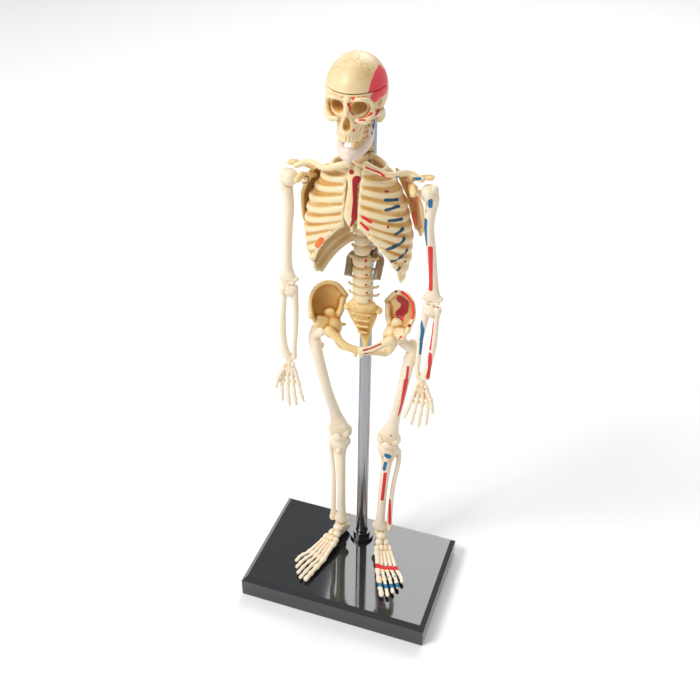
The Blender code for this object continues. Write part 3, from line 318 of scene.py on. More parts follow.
# %% Strokes of paint
PAINT_PREFIX = "paint_"
PAINT_EDGE = 0.25
STROKES = {
    "skull_cap": [
        ("rose", 1.5, [(6.4, -1.4, 230.9), (6.0, -4.8, 230.0), (5.7, -7.4, 228.2), (5.5, -9.2, 225.6)]),
        ("rose", 1.5, [(7.4, 0.6, 229.4), (7.3, -3.0, 228.8), (7.1, -5.8, 227.4), (6.5, -8.2, 225.4)]),
        ("rose", 1.5, [(8.2, -0.2, 227.4), (8.2, -3.0, 226.4), (7.5, -6.0, 225.6)]),
        ("red", 0.16, [(5.6, -9.2, 226.2), (6.9, -4.4, 229.6)]),
        ("red", 0.16, [(6.5, -8.0, 226.0), (7.9, -2.0, 228.3)])],
    "skull_base": [
        ("rose", 1.6, [(8.2, -2.4, 225.8), (7.4, -5.8, 225.0), (6.2, -8.4, 224.6)]),
        ("red", 0.6, [(1.0, -13.4, 225.5)]),
        ("red", 0.5, [(-0.3, -14.1, 223.9), (0.0, -13.1, 222.0), (0.9, -12.9, 220.6),
                      (2.4, -12.9, 219.8),
                            (4.4, -12.4, 219.9), (6.1, -11.3, 220.6)]),
        ("red", 0.4, [(6.4, -11.8, 218.4), (7.0, -9.5, 219.4), (7.4, -5.6, 219.8)]),
        ("red", 0.36, [(1.7, -12.8, 217.7), (3.0, -13.3, 218.9), (4.6, -13.0, 218.9)]),
        ("rose", 0.42, [(2.6, -10.4, 214.4), (3.4, -9.6, 215.8)]),
        ("red", 0.48, [(0.0, -12.8, 214.9)]), ("red", 0.48, [(1.2, -12.9, 215.3)])],
    "mandible": [
        ("rose", 0.3, [(2.4, -10.6, 208.0), (4.0, -7.7, 209.0)]),
        ("rose", 0.3, [(2.9, -10.5, 207.2), (4.2, -8.2, 208.2)]),
        ("rose", 0.3, [(3.4, -10.1, 206.5), (4.3, -8.5, 207.3)]),
        ("blue", 0.95, [(4.9, 1.0, 213.9), (5.4, -1.8, 212.8), (5.5, -3.9, 211.2)])],
    "sternum": [
        ("crimson", 0.85, [(-1.7, -4.0, 197.2)]),
        ("crimson", 1.6, [(0.4, -4.9, 194.8), (1.1, -6.4, 188.6), (1.0, -8.0, 183.2)]),
        ("crimson", 0.7, [(0.4, -8.3, 182.5), (-0.4, -8.8, 179.4)])],
    "clavicle_left": [
        ("red", 0.34, [(3.4, -5.2, 199.9), (7.5, -5.5, 199.0), (9.5, -5.3, 197.9)]),
        ("red", 0.3, [(8.2, -5.6, 197.6), (11.9, -4.4, 196.7)]),
        ("blue", 0.55, [(13.4, -3.9, 196.9), (15.4, -2.9, 196.7), (17.9, -2.6, 196.5),
                        (20.8, -2.7, 197.0)])],
    "rib_cage_left": [
        ("red", 0.5, [(3.2, -7.4, 183.2), (5.9, -7.2, 181.6)]),
        ("red", 0.5, [(2.7, -7.9, 181.2), (5.1, -7.8, 178.9)]),
        ("crimson", 0.45, [(9.6, -2.4, 191.0), (10.8, -1.8, 190.8)]),
        ("crimson", 0.45, [(12.6, -0.6, 192.2), (13.6, 0.2, 192.0)]),
        ("navy", 0.6, [(9.9, -3.6, 188.4), (13.2, -0.4, 187.6)]),
        ("navy", 0.62, [(10.4, -4.7, 185.4), (14.0, -1.5, 185.8)]),
        ("navy", 0.6, [(11.6, -5.0, 181.7), (15.3, -1.8, 181.3)]),
        ("crimson", 0.5, [(11.3, -5.2, 179.4)]),
        ("navy", 0.7, [(13.9, -3.8, 176.5), (15.9, -2.0, 177.9)]),
        ("navy", 0.7, [(11.8, -6.0, 171.6), (15.3, -3.4, 172.7), (16.3, -2.0, 174.2)]),
        ("navy", 0.65, [(13.0, -4.6, 166.4), (16.0, -2.2, 167.5), (17.4, -1.1, 169.4)]),
        ("navy", 0.6, [(15.0, -3.4, 162.4), (17.0, -1.5, 164.9)])],
    "rib_cage_right": [
        ("orange", 1.0, [(-13.4, -5.9, 169.2), (-11.2, -6.9, 172.4)])],
    "scapula_left": [
        ("orange", 2.0, [(15.7, 8.0, 190.0), (16.4, 6.0, 186.0), (17.0, 6.0, 180.0),
                         (17.4, 8.0, 176.0)]),
        ("orange", 1.6, [(18.3, 3.0, 189.0), (18.6, 3.0, 183.4), (19.6, 4.0, 176.0)]),
        ("red", 0.5, [(17.8, 1.8, 190.0), (18.4, 2.4, 184.0), (19.4, 3.0, 177.0)])],
    "humerus_left": [
        ("blue", 0.8, [(24.8, -3.8, 190.3), (24.8, -3.2, 188.1)]),
        ("blue", 0.6, [(22.6, -3.0, 188.6), (23.0, -3.0, 185.6)]),
        ("blue", 0.75, [(23.5, -2.8, 182.5), (23.6, -2.2, 178.0), (23.8, -1.0, 172.6)]),
        ("red", 0.95, [(25.4, -1.6, 171.4), (25.6, 0.1, 162.0), (25.8, 1.6, 153.5)])],
    "forearm_left": [
        ("red", 0.7, [(28.9, 2.4, 146.4)]),
        ("blue", 0.75, [(23.4, 3.2, 138.4), (23.9, 3.2, 133.4), (23.6, 3.6, 129.6)]),
        ("blue", 0.7, [(23.5, 4.0, 128.4), (23.5, 4.4, 123.4)]),
        ("red", 0.62, [(27.4, 2.2, 139.2), (27.0, 3.2, 126.9)]),
        ("red", 0.75, [(27.2, 3.0, 124.6), (27.4, 3.9, 117.7), (26.8, 3.9, 113.2)])],
    "lumbar_spine": [
        ("red", 0.55, [place]) for place in
        [(1.9, 5.3, 153.4), (1.9, 5.1, 149.3), (2.2, 5.3, 145.8), (3.0, 6.1, 142.2), (1.5, 5.7, 159.0),
         (1.6, 5.5, 156.6)]],
    "sacrum": [
        ("crimson", 0.5, [place]) for place in [(3.6, 9.0, 135.6), (3.2, 10.2, 132.4),
                                                (2.7, 10.6, 129.4)]],
    "hip_bone_left": [
        ("crimson", 1.7, [(13.4, 12.5, 140.6), (15.2, 11.8, 139.8), (15.0, 11.6, 136.6),
                          (13.4, 11.4, 134.8)]),
        ("red", 0.75, [(14.9, 11.2, 134.6), (14.4, 9.0, 131.4), (14.2, 6.1, 129.8)]),
        ("red", 0.6, [(13.9, 11.8, 144.1), (16.5, 10.3, 143.6), (18.8, 8.2, 142.2), (19.7, 5.8, 139.8),
                            (19.4, 4.6, 138.4)]),
        ("crimson", 0.7, [(18.8, 2.9, 136.0)]), ("crimson", 0.65, [(11.5, 12.9, 143.6)]),
        ("red", 0.42, [(16.1, 2.9, 130.6), (15.5, 3.5, 129.2)]),
        ("crimson", 0.42, [(2.4, 1.0, 123.2), (5.4, 1.4, 124.6), (8.6, 2.0, 126.6)]),
        ("crimson", 0.42, [(2.8, 1.0, 121.6), (6.0, 1.6, 122.6), (9.6, 2.4, 124.6)])],
    "femur_left": [
        ("red", 0.5, [(18.6, 6.8, 114.4), (18.2, 7.2, 107.0)]),
        ("red", 1.05, [(18.2, 7.2, 107.4), (16.9, 9.2, 93.4), (15.2, 10.8, 84.0)]),
        ("rose", 0.5, [(16.6, 8.4, 111.0), (16.0, 9.0, 105.0)]),
        ("blue", 0.5, [(14.1, 14.4, 74.5)]), ("blue", 0.5, [(12.0, 12.9, 73.5)]),
        ("blue", 0.5, [(15.4, 13.8, 77.0)])],
    "patella_left": [("orange", 0.7, [(11.5, 14.9, 68.6)])],
    "shin_left": [
        ("blue", 1.25, [(10.7, 12.4, 62.8), (11.4, 12.4, 62.4)]),
        ("blue", 0.8, [(10.2, 12.2, 58.4), (9.7, 12.2, 54.8)]),
        ("red", 0.75, [(10.3, 12.0, 52.6), (10.1, 11.3, 46.6), (9.7, 10.6, 38.4)]),
        ("red", 0.65, [(12.5, 13.2, 36.4), (12.9, 12.3, 30.1), (13.3, 11.4, 23.8)])],
    "foot_left": [
        ("red", 1.15, [(10.2, -5.0, 13.6), (15.0, -4.6, 13.6), (20.5, -3.2, 13.0)]),
        ("blue", 1.1, [(13.0, -14.4, 12.8), (17.4, -14.4, 12.4), (24.0, -11.2, 12.0)]),
        ("blue", 0.45, [(13.9, -8.9, 12.9)]), ("blue", 0.45, [(17.5, -9.2, 12.9)]),
        ("blue", 0.45, [(20.3, -8.0, 13.1)])],
}


def paint(mesh, strokes):
    """Mask of each paint: over one half within a stroke's half width, fading over PAINT_EDGE."""
    points = to_figure(get_points(mesh))
    masks = {}
    for name, half, line in strokes:
        line = np.asarray(line, dtype=float)
        away = np.linalg.norm(points - line[0], axis=1)
        for start, end in zip(line[:-1], line[1:]):
            run = end - start
            share = np.clip((points - start) @ run / (run @ run), 0, 1)
            away = np.minimum(away, np.linalg.norm(points - start - share[:, None] * run, axis=1))
        mask = np.clip(0.5 + (half - away) / PAINT_EDGE, 0, 1)
        masks[name] = np.maximum(masks.get(name, 0.0), mask)
    for name, values in masks.items():
        write_attribute(mesh, PAINT_PREFIX + name, values)


# %% [markdown]
# ## A finished bone
# Every bone goes the same way: lean it if it belongs to the trunk or the head, melt, cut, smooth,
# paint, tie it to its body, and hide the imported node that it stands for. Trunk and head hang a
# millimetre to the figure's right, as if the figure stood slightly off its rod.

# %% Lean, and one bone from start to end
LEAN = 1.0
LEAN_START = 20.0
LEANING = ("skull", "mandible", "cervical", "thoracic", "lumbar", "rib_cage", "sternum")


def leaning(solids):
    """Shift to the figure's right that grows from nothing below the waist to LEAN at the neck."""
    moved = []
    for points, faces in solids:
        share = np.clip((points[..., 2] - LOIN + LEAN_START) / (THORAX - LOIN), 0, 1)
        points = np.array(points, dtype=float)
        points[..., 0] -= LEAN * share
        moved.append((points, faces))
    return moved


def bone(name, solids, body, look, grain=0.3, cuts=(), carve=None, passes=3, node=None):
    """One finished bone: melted solids less the cuts, riding on a body in place of its CAD node."""
    cutter = None
    if name.startswith(LEANING):
        solids, cuts = leaning(solids), leaning(cuts)
    if cuts:
        cutter = bpy.data.objects.new("cutter", melted("cutter", make_mesh("cutter", cuts), grain))
        bpy.context.scene.collection.objects.link(cutter)
        cutter.hide_render = True
    mesh = melted(name, make_mesh(name, solids), grain, cutter)
    if cutter:
        bpy.data.objects.remove(cutter)
    mesh.name = name
    finish_bone(mesh, passes, carve)
    node = node or name.replace("_bone_skin", "")
    paint(mesh, STROKES.get(node, []))
    mesh.shade_smooth()
    mesh.materials.clear()
    mesh.materials.append(look)
    piece = bpy.data.objects.new(name, mesh)
    bpy.context.scene.collection.objects.link(piece)
    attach(piece, body)
    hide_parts(node)
    print("%-18s %6d faces" % (name, len(mesh.polygons)))
    return piece


# %% [markdown]
# ## Stained plastic
# The bones are ivory plastic with an amber stain that was wiped off the high places and stayed in
# the hollows. The stored hollow value mixes the two colours, and broad noise makes the wiping
# uneven. Paint masks are stored on the points too, one attribute for each paint, because the
# painted areas follow the muscles and not any simple pattern.

# %% Bone materials
def new_material(name):
    """Material with its node tree, its shader and the object's own coordinates."""
    material = bpy.data.materials.new(name)
    material.use_nodes = True
    tree = material.node_tree
    place = tree.nodes.new("ShaderNodeTexCoord").outputs["Object"]
    return material, tree, tree.nodes["Principled BSDF"], place


def socket(node, name, value):
    """Set one input of a node."""
    node.inputs[name].default_value = value


def mix(tree, factor, below, above):
    """Colour mix of two sockets or colours."""
    node = tree.nodes.new("ShaderNodeMix")
    node.data_type = "RGBA"
    tree.links.new(factor, node.inputs[0])
    for slot_index, colour in ((6, below), (7, above)):
        if isinstance(colour, tuple):
            node.inputs[slot_index].default_value = (*colour, 1.0)
        else:
            tree.links.new(colour, node.inputs[slot_index])
    return node.outputs[2]


def ramp(tree, value, low, high):
    """Value mapped smoothly from low..high to 0..1."""
    node = tree.nodes.new("ShaderNodeMapRange")
    node.interpolation_type = "SMOOTHSTEP"
    tree.links.new(value, node.inputs["Value"])
    socket(node, "From Min", low)
    socket(node, "From Max", high)
    return node.outputs["Result"]


def noise(tree, where, scale, detail=3.0):
    """Noise on a coordinate; the scale is in waves per metre."""
    node = tree.nodes.new("ShaderNodeTexNoise")
    tree.links.new(where, node.inputs["Vector"])
    socket(node, "Scale", scale)
    socket(node, "Detail", detail)
    return node.outputs["Fac"]


def add(tree, a, b, scale=1.0):
    """a + b * scale."""
    node = tree.nodes.new("ShaderNodeMath")
    node.operation = "MULTIPLY_ADD"
    tree.links.new(b, node.inputs[0])
    node.inputs[1].default_value = scale
    tree.links.new(a, node.inputs[2])
    return node.outputs[0]


PAINTS = {
    "rose": (0.86, 0.07, 0.095),
    "orange": (0.80, 0.17, 0.02),
    "red": (0.72, 0.022, 0.028),
    "crimson": (0.36, 0.012, 0.016),
    "blue": (0.006, 0.16, 0.34),
    "navy": (0.012, 0.075, 0.14),
}


def bone_look(name, high, middle, deep, stain=0.0, roughness=0.36):
    """Wiped-stain plastic with every paint on top of it."""
    material, tree, shader, place = new_material(name)
    hollow = tree.nodes.new("ShaderNodeAttribute")
    hollow.attribute_name = "hollow"
    broad = noise(tree, place, 110.0, 2.0)
    fine = noise(tree, place, 900.0, 4.0)
    wiped = add(tree, add(tree, hollow.outputs["Fac"], broad, 0.5), fine, 0.10)
    colour = mix(tree, ramp(tree, wiped, 0.16 - stain, 0.62 - stain), high, middle)
    colour = mix(tree, ramp(tree, wiped, 0.34 - stain, 0.86 - stain), colour, deep)
    for paint, tint in PAINTS.items():
        mask = tree.nodes.new("ShaderNodeAttribute")
        mask.attribute_name = PAINT_PREFIX + paint
        edge = add(tree, mask.outputs["Fac"], fine, 0.16)
        colour = mix(tree, ramp(tree, edge, 0.48, 0.66), colour, tint)
    tree.links.new(colour, shader.inputs["Base Color"])
    tree.links.new(ramp_between(tree, fine, roughness - 0.07, roughness + 0.10),
                   shader.inputs["Roughness"])
    bump = tree.nodes.new("ShaderNodeBump")
    socket(bump, "Strength", 0.10)
    socket(bump, "Distance", 0.0002)
    tree.links.new(noise(tree, place, 1500.0, 3.0), bump.inputs["Height"])
    tree.links.new(bump.outputs["Normal"], shader.inputs["Normal"])
    socket(shader, "Subsurface Weight", 0.10)
    socket(shader, "Subsurface Radius", (1.0, 0.6, 0.3))
    socket(shader, "Subsurface Scale", 0.0012)
    socket(shader, "Specular IOR Level", 0.42)
    return material


def ramp_between(tree, value, low, high):
    """0..1 mapped to low..high."""
    node = tree.nodes.new("ShaderNodeMapRange")
    tree.links.new(value, node.inputs["Value"])
    socket(node, "To Min", low)
    socket(node, "To Max", high)
    return node.outputs["Result"]


IVORY = bone_look("ivory_bone", (0.84, 0.69, 0.43), (0.70, 0.45, 0.16), (0.50, 0.20, 0.022), 0.08)
AMBER = bone_look("amber_bone", (0.82, 0.61, 0.29), (0.68, 0.40, 0.10), (0.48, 0.18, 0.02), 0.18)
PALE = bone_look("pale_limb_bone", (0.88, 0.77, 0.60), (0.80, 0.59, 0.33), (0.58, 0.28, 0.05), 0.08)
JAW_LOOK = bone_look("pale_jaw_bone", (0.82, 0.68, 0.58), (0.76, 0.60, 0.46), (0.62, 0.36, 0.14),
                     -0.12, 0.30)
print("bone looks:", [m.name for m in (IVORY, AMBER, PALE, JAW_LOOK)])


# %% [markdown]
# ## Head
# The brain case is one surface: each direction from its middle has a radius. It is an ellipsoid
# that is pinched at the temples and flattened on the forehead. The face is a stack of half-round
# outlines, with tubes for the brow, nose and cheek bones. Balls cut out the eye sockets, the pear
# of the nose and the temples. A level cut splits the lift-off cap from the skull base.

# %% Brain case and face
SKULL_MIDDLE = np.array([0.0, NECK[1] - 4.4, CROWN - 11.4])
SKULL_RADII = np.array([9.9, 12.4, 11.4])


def brain_case(shrink=0.0, rows=40, sides=56):
    """Ellipsoid; x is narrowed by 9 % in front of the ears, and the brow is pushed back a little."""
    polar = np.linspace(0.04, math.pi - 0.04, rows)[:, None]
    angle = np.arange(sides)[None, :] * 2 * math.pi / sides
    x, y = np.sin(polar) * np.cos(angle), np.sin(polar) * np.sin(angle)
    z = -np.cos(polar) + 0 * angle
    front = np.clip(-y, 0, 1)
    x = x * (1 - 0.10 * front ** 1.5) * (1 - 0.10 * np.clip(-z - 0.2, 0, 1))
    y = y * np.where(y < 0, 1 - 0.05 * np.clip(z, 0, 1), 1.0)
    return ring_solid(SKULL_MIDDLE + np.stack([x, y, z], axis=-1) * (SKULL_RADII - shrink))


def face_outline(z, half, nose_y, back_y, sides=15):
    """Half circle of width 2 * half that bulges to nose_y, closed straight at the back."""
    angle = np.linspace(-math.pi / 2, math.pi / 2, sides)
    arc = np.stack([half * np.sin(angle), nose_y + (back_y - nose_y) * (1 - np.cos(angle)) * 0.7,
                    np.full(sides, z)], axis=-1)
    return np.vstack([arc, [(half * 0.7, back_y, z), (-half * 0.7, back_y, z)]])


FRONT = SKULL_MIDDLE[1] - SKULL_RADII[1]
TEETH = CUT - 15.4
FACE = ring_solid(np.stack([face_outline(TEETH + 1.0, 3.7, FRONT + 0.4, FRONT + 8.5),
                            face_outline(TEETH + 3.4, 4.1, FRONT - 0.5, FRONT + 9.0),
                            face_outline(TEETH + 5.6, 4.6, FRONT - 0.4, FRONT + 9.0),
                            face_outline(TEETH + 7.4, 6.3, FRONT + 0.1, FRONT + 9.0),
                            face_outline(TEETH + 10.0, 6.9, FRONT + 0.3, FRONT + 9.0),
                            face_outline(TEETH + 12.6, 7.0, FRONT + 0.1, FRONT + 9.0),
                            face_outline(CUT + 0.8, 6.9, FRONT + 0.1, FRONT + 8.0)]))


def both(solids):
    """The left-hand solids and their mirror images."""
    return list(solids) + mirrored(solids, -1)


def skull_solids():
    """Brain case, face, brow ridges, nose bridge, cheek bones, cheek arches, mastoids and teeth."""
    pairs = [
        tube([(1.1, FRONT + 0.3, CUT - 1.5), (4.0, FRONT + 0.1, CUT - 0.9),
              (6.5, FRONT + 1.8, CUT - 1.6),
              (7.3, FRONT + 3.6, CUT - 4.4)], [(0.6, 0.6), (0.65, 0.7), (0.75, 0.7), (0.7, 0.7)]),
        tube([(7.3, FRONT + 3.5, CUT - 4.0), (7.0, FRONT + 2.8, CUT - 6.6),
              (5.4, FRONT + 1.0, CUT - 7.9),
              (3.2, FRONT + 0.3, CUT - 7.6)], [(0.75, 0.75), (1.15, 1.1), (1.2, 1.1), (0.7, 0.7)]),
        tube([(6.9, FRONT + 3.2, CUT - 6.9), (8.3, FRONT + 6.4, CUT - 7.3),
              (8.7, FRONT + 9.6, CUT - 7.9),
              (8.3, FRONT + 12.4, CUT - 8.2)], [(0.8, 1.1), (0.6, 0.8), (0.7, 0.9), (0.9, 1.0)]),
        ball((6.9, SKULL_MIDDLE[1] + 3.4, NECK[2] + 3.0), (1.8, 2.3, 2.9)),
    ]
    bridge = tube([(0, FRONT + 0.2, CUT - 1.2), (0, FRONT - 0.4, CUT - 3.4),
                   (0, FRONT - 1.1, CUT - 6.0)],
                  [(1.3, 0.9), (0.95, 0.8), (0.7, 0.6)])
    teeth = []
    for index in range(7):
        angle = math.radians(9 + index * 15.5)
        x, y = 3.45 * math.sin(angle), FRONT + 0.1 + 5.2 * (1 - math.cos(angle))
        teeth.append(tube([(x, y, TEETH + 3.4), (x, y, TEETH + 0.5)],
                          [(0.5, 0.55), (0.42, 0.45)], 6, 8))
    return [brain_case(), FACE, bridge] + both(pairs) + both(teeth)


def brain_cavity():
    """Hollow that leaves a wall of 1.5 mm at the sides, back and top, and 4.7 mm at the forehead."""
    shift = (0, 1.6, 0.3)
    return ball(SKULL_MIDDLE + shift, SKULL_RADII - 1.5 - shift, 25, 36)


def skull_cuts():
    """Brain cavity, neck hole, eye sockets, nose and temples."""
    hole = tube([(0, NECK[1], NECK[2] - 3), (0, NECK[1], NECK[2] + 4)], [(1.9, 1.9)] * 2, 4, 20,
                ends=False)
    sockets = [ball((4.0, FRONT - 0.4, CUT - 4.2), (3.15, 4.0, 2.6), 17, 24),
               ball((3.75, FRONT + 1.2, CUT - 4.2), (2.4, 3.8, 2.1)),
               ball((10.3, FRONT + 6.4, CUT - 4.4), (2.4, 3.2, 3.2)),
               ball((6.2, FRONT + 7.6, CUT - 12.2), (2.4, 3.4, 3.0))]
    nose = tube([(0, FRONT - 0.4, CUT - 10.1), (0, FRONT - 0.5, CUT - 8.9),
                 (0, FRONT - 0.9, CUT - 6.3)],
                [(1.35, 2.2), (1.25, 2.2), (0.35, 1.3)], 12, 16)
    return [brain_cavity(), hole, nose] + both(sockets)


ABOVE = block((-25, -30, CUT), (25, 30, CROWN + 9))
BELOW = block((-25, -30, NECK[2] - 25), (25, 30, CUT + 0.32))


def suture(points):
    """Thin wavy grooves: one across the crown, one along its middle, behind the first."""
    x, y, z = points.T
    middle = SKULL_MIDDLE
    across = y - (middle[1] - 4.6) - 0.55 * np.sin(x * 2.6) - 0.25 * np.sin(x * 6.1) + 0.02 * x ** 2
    along = x - 0.45 * np.sin(y * 2.9)
    high = np.clip((z - CUT - 1.5) / 1.5, 0, 1)
    groove = np.exp(-(across / 0.16) ** 2) + np.exp(-(along / 0.16) ** 2) * (y > middle[1] - 4.6)
    outside = np.sum(((points - middle) / (SKULL_RADII - 0.8)) ** 2, axis=1) > 1
    return -0.16 * np.clip(groove, 0, 1) * high * outside


# %% Skull base and lift-off cap
bone("skull_base_bone_skin", skull_solids(), "head", IVORY, 0.2, skull_cuts() + [ABOVE])
bone("skull_cap_bone_skin", [brain_case()], "cap", IVORY, 0.22, [brain_cavity(), BELOW],
     carve=suture)


# %% [markdown]
# ## Lower jaw
# The jaw is one tube bent like a horseshoe that turns up at both ends, with a deeper section at
# the chin. A row of short pegs makes its teeth.

# %% Lower jaw
def jaw_solids():
    """Horseshoe from ear to ear through the chin, the coronoid spurs, and the teeth."""
    chin = JAW[2] - 9.5
    half_path = [(6.2, JAW[1] + 0.2, JAW[2] + 0.1), (6.25, JAW[1] - 0.3, JAW[2] - 3.4),
                 (5.9, JAW[1] - 1.6, chin + 4.2), (4.7, JAW[1] - 6.0, chin + 2.9),
                 (3.0, JAW[1] - 9.6, chin + 2.2),
                 (0, JAW[1] - 11.2, chin + 2.0)]
    path = np.array(half_path + [(-x, y, z) for x, y, z in half_path[-2::-1]])
    outward = unit((curve(path, 61) - (0, JAW[1] - 1.0, 0)) * (1, 1, 0))
    half = [(0.7, 0.9), (0.6, 1.7), (0.75, 2.2), (0.9, 1.75), (0.95, 1.85), (0.9, 2.0)]
    arch = tube(path, half + half[-2::-1], 61, 12, outward, ends=False)
    spurs = both([tube([(6.0, JAW[1] - 2.6, chin + 5.2), (6.1, JAW[1] - 3.0, JAW[2] - 0.8)],
                       [(0.5, 1.1), (0.4, 0.6)], 6, 8, (0, 1, 0))])
    teeth = []
    for index in range(7):
        angle = math.radians(8 + index * 15)
        x, y = 3.5 * math.sin(angle), JAW[1] - 10.9 + 5.4 * (1 - math.cos(angle))
        teeth.append(tube([(x, y, chin + 3.0), (x, y, chin + 4.4)], [(0.42, 0.46), (0.36, 0.4)], 5, 8))
    return [arch, ball((0, JAW[1] - 11.6, chin + 1.2), (1.9, 0.9, 1.2))] + spurs + both(teeth)


bone("mandible_bone_skin", slimmer(jaw_solids(), 0.87), "jaw", JAW_LOOK, 0.2)


# %% [markdown]
# ## Spine
# Every part of the spine is a stack of short drums with waists between them, small wings to the
# sides and a row of spurs behind. One function makes a stack along any curve.

# %% Stacks of vertebrae
def vertebrae(line, half_width, half_depth, count, wing, spur):
    """Swelling column, and for each vertebra two side wings and one spur that points back and down."""
    rows = count * 10 + 1
    share = np.linspace(0, 1, rows)
    swell = 1 - 0.15 * np.abs(np.cos(math.pi * share * count)) ** 6
    path = curve(line, rows)
    radii = np.stack([np.interp(share, [0, 1], half_width) * swell,
                      np.interp(share, [0, 1], half_depth) * swell], axis=1)
    angle = np.arange(20) * 2 * math.pi / 20
    column = ring_solid(path[:,
                             None] + np.stack([radii[:, :1] * np.cos(angle),
                                               -radii[:, 1:] * np.sin(angle),
                                                  0 * radii[:, :1] * angle], axis=-1))
    solids = [column]
    for index in range(count):
        x, y, z = path[int((index + 0.5) * rows / count)]
        width = np.interp((index + 0.5) / count, [0, 1], half_width)
        depth = np.interp((index + 0.5) / count, [0, 1], half_depth)
        solids += both([tube([(x + width * 0.5, y + depth * 0.45, z),
                              (x + width + wing * 0.6, y + depth * 0.6, z - 0.2),
                              (x + width + wing, y + depth * 0.75, z + 0.3)],
                             [(0.75, 0.7), (0.55, 0.55), (0.6, 0.5)], 6, 8, (0, 0, 1))])
        solids.append(tube([(x, y + depth * 0.6, z), (x, y + depth + spur, z - 1.1)],
                           [(0.5, 1.0), (0.4, 0.8)], 5, 8))
    return solids


bone("cervical_spine_bone_skin",
     vertebrae([(0, NECK[1], NECK[2] - 0.2), (0, NECK[1] + 0.4, NECK[2] - 6.7),
                (0, SPINE_Y - 1.6, THORAX + 1.0)], (2.2, 2.5), (1.9, 2.2), 7, 1.0, 0.4)
     + [tube([(0, NECK[1], NECK[2] - 1), (0, NECK[1], NECK[2] + 2.0)], [(1.3, 1.3)] * 2, 4, 14)],
     "trunk", AMBER, 0.22)
bone("thoracic_spine_bone_skin",
     vertebrae([(0, SPINE_Y - 1.6, THORAX - 0.2), (0, SPINE_Y + 0.1, THORAX - 15.7),
                (0, SPINE_Y + 0.1, LOIN + 0.5)], (2.5, 3.1), (2.2, 2.7), 12, 1.0, 0.3),
     "trunk", IVORY, 0.26)
bone("lumbar_spine_bone_skin",
     vertebrae([(0, SPINE_Y, LOIN - 0.2), (0, SPINE_Y - 0.5, LOIN - 10.0),
                (0, SPINE_Y - 0.2, SACRUM + 0.7)], (3.5, 3.7), (3.1, 3.1), 5, 1.9, 0.2),
     "trunk", IVORY, 0.26)


# %% Sacrum and tail
def sacrum_solids():
    """Wedge that narrows to the tail, two wings at its top, and cross ridges on its front."""
    top = SACRUM
    wedge = tube([(0, SPINE_Y - 0.2, top - 1.2), (0, SPINE_Y + 0.6, top - 6.0),
                  (0.3, SPINE_Y + 1.9, top - 12.0),
                  (0.8, SPINE_Y + 1.9, top - 16.6), (1.2, SPINE_Y + 0.8, top - 20.6)],
                 [(5.4, 2.7), (5.6, 2.3), (3.6, 1.5), (1.9, 1.0), (0.8, 0.6)], 30, 20)
    wings = both([tube([(2.5, SPINE_Y + 0.4, top - 1.6), (6.2, SPINE_Y + 1.0, top - 3.6)],
                       [(1.6, 1.8), (1.2, 2.2)], 6, 10, (0, 0, 1))])
    ridges = [tube([(-3.2 + i * 0.5, SPINE_Y - 1.8 + i * 0.62, top - 4.6 - i * 3.1),
                    (3.2 - i * 0.5, SPINE_Y - 1.8 + i * 0.62, top - 4.6 - i * 3.1)],
                   [(0.5, 0.5)] * 2, 6, 8, (0, 0, 1)) for i in range(4)]
    drum = tube([(0, SPINE_Y - 0.4, top - 0.3), (0, SPINE_Y - 0.2, top - 2.6)],
                [(3.6, 2.9), (3.2, 2.6)], 5, 20, ends=False)
    return [wedge, drum] + wings + ridges


bone("sacrum_bone_skin", sacrum_solids(), "trunk", AMBER, 0.26,
     both([ball((2.9 - i * 0.42, SPINE_Y - 1.9 + i * 0.66, SACRUM - 5.9 - i * 3.0), (0.6, 1.4, 0.55))
           for i in range(4)]))


# %% [markdown]
# ## Rib cage
# The cage of the real model is moulded as a thin wall with the ribs standing out of it. Its outer
# surface has a width and a depth at every height. A rib is a flat tube that keeps to that surface
# while its height follows a smooth rule: it falls from the spine to the side and rises again,
# as gristle, to the breast bone.

# %% Shape of the chest
def chest(z):
    """Half width, front y and back y of the rib cage at a height."""
    share = (THORAX - np.asarray(z, dtype=float)) / 47.2
    knots = [0.0, 0.12, 0.32, 0.56, 0.76, 1.0]
    width = np.interp(share, knots, [0.36, 0.64, 0.88, 1.0, 0.97, 0.80]) * 19.2
    depth = np.interp(share, knots, [0.52, 0.72, 0.93, 1.0, 0.97, 0.86]) * 11.4
    back = SPINE_Y + np.interp(share, knots, [1.2, 3.6, 5.4, 6.2, 6.0, 5.2])
    return width, back - 2 * depth, back


def on_chest(angle, z, out=0.0):
    """Point at an angle from the breast bone round to the spine, moved outwards by out."""
    width, front, back = chest(z)
    middle, depth = (front + back) / 2, (back - front) / 2
    return np.stack([(width + out) * np.sin(angle), middle - (depth + out) * np.cos(angle),
                     np.broadcast_to(z, np.shape(angle))], axis=-1)


def rib_drop(index, angle):
    """How far below the chest's top a rib runs: front, side and back levels joined by sines."""
    front = np.interp(index, [0, 5, 6, 9, 11], [2.0, 16.4, 18.4, 23.0, 27.0])
    side = 2.9 + 4.02 * index
    rear = 0.9 + 3.15 * index
    fore = front + (side - front) * np.sin(np.minimum(angle, math.pi / 2)) ** 1.15
    aft = rear + (side - rear) * np.clip(np.cos((angle - math.pi / 2) * 1.15), 0, 1) ** 1.3
    return np.where(angle < math.pi / 2, fore, aft)


def lower_edge(angle):
    """Drop of the cage's open lower edge at each angle."""
    degrees = np.degrees(angle)
    return np.interp(degrees, [0, 14, 33, 52, 75, 98, 118, 140, 165],
                     [19.5, 21.0, 28.0, 36.5, 44.5, 46.6, 45.0, 38.8, 35.4])


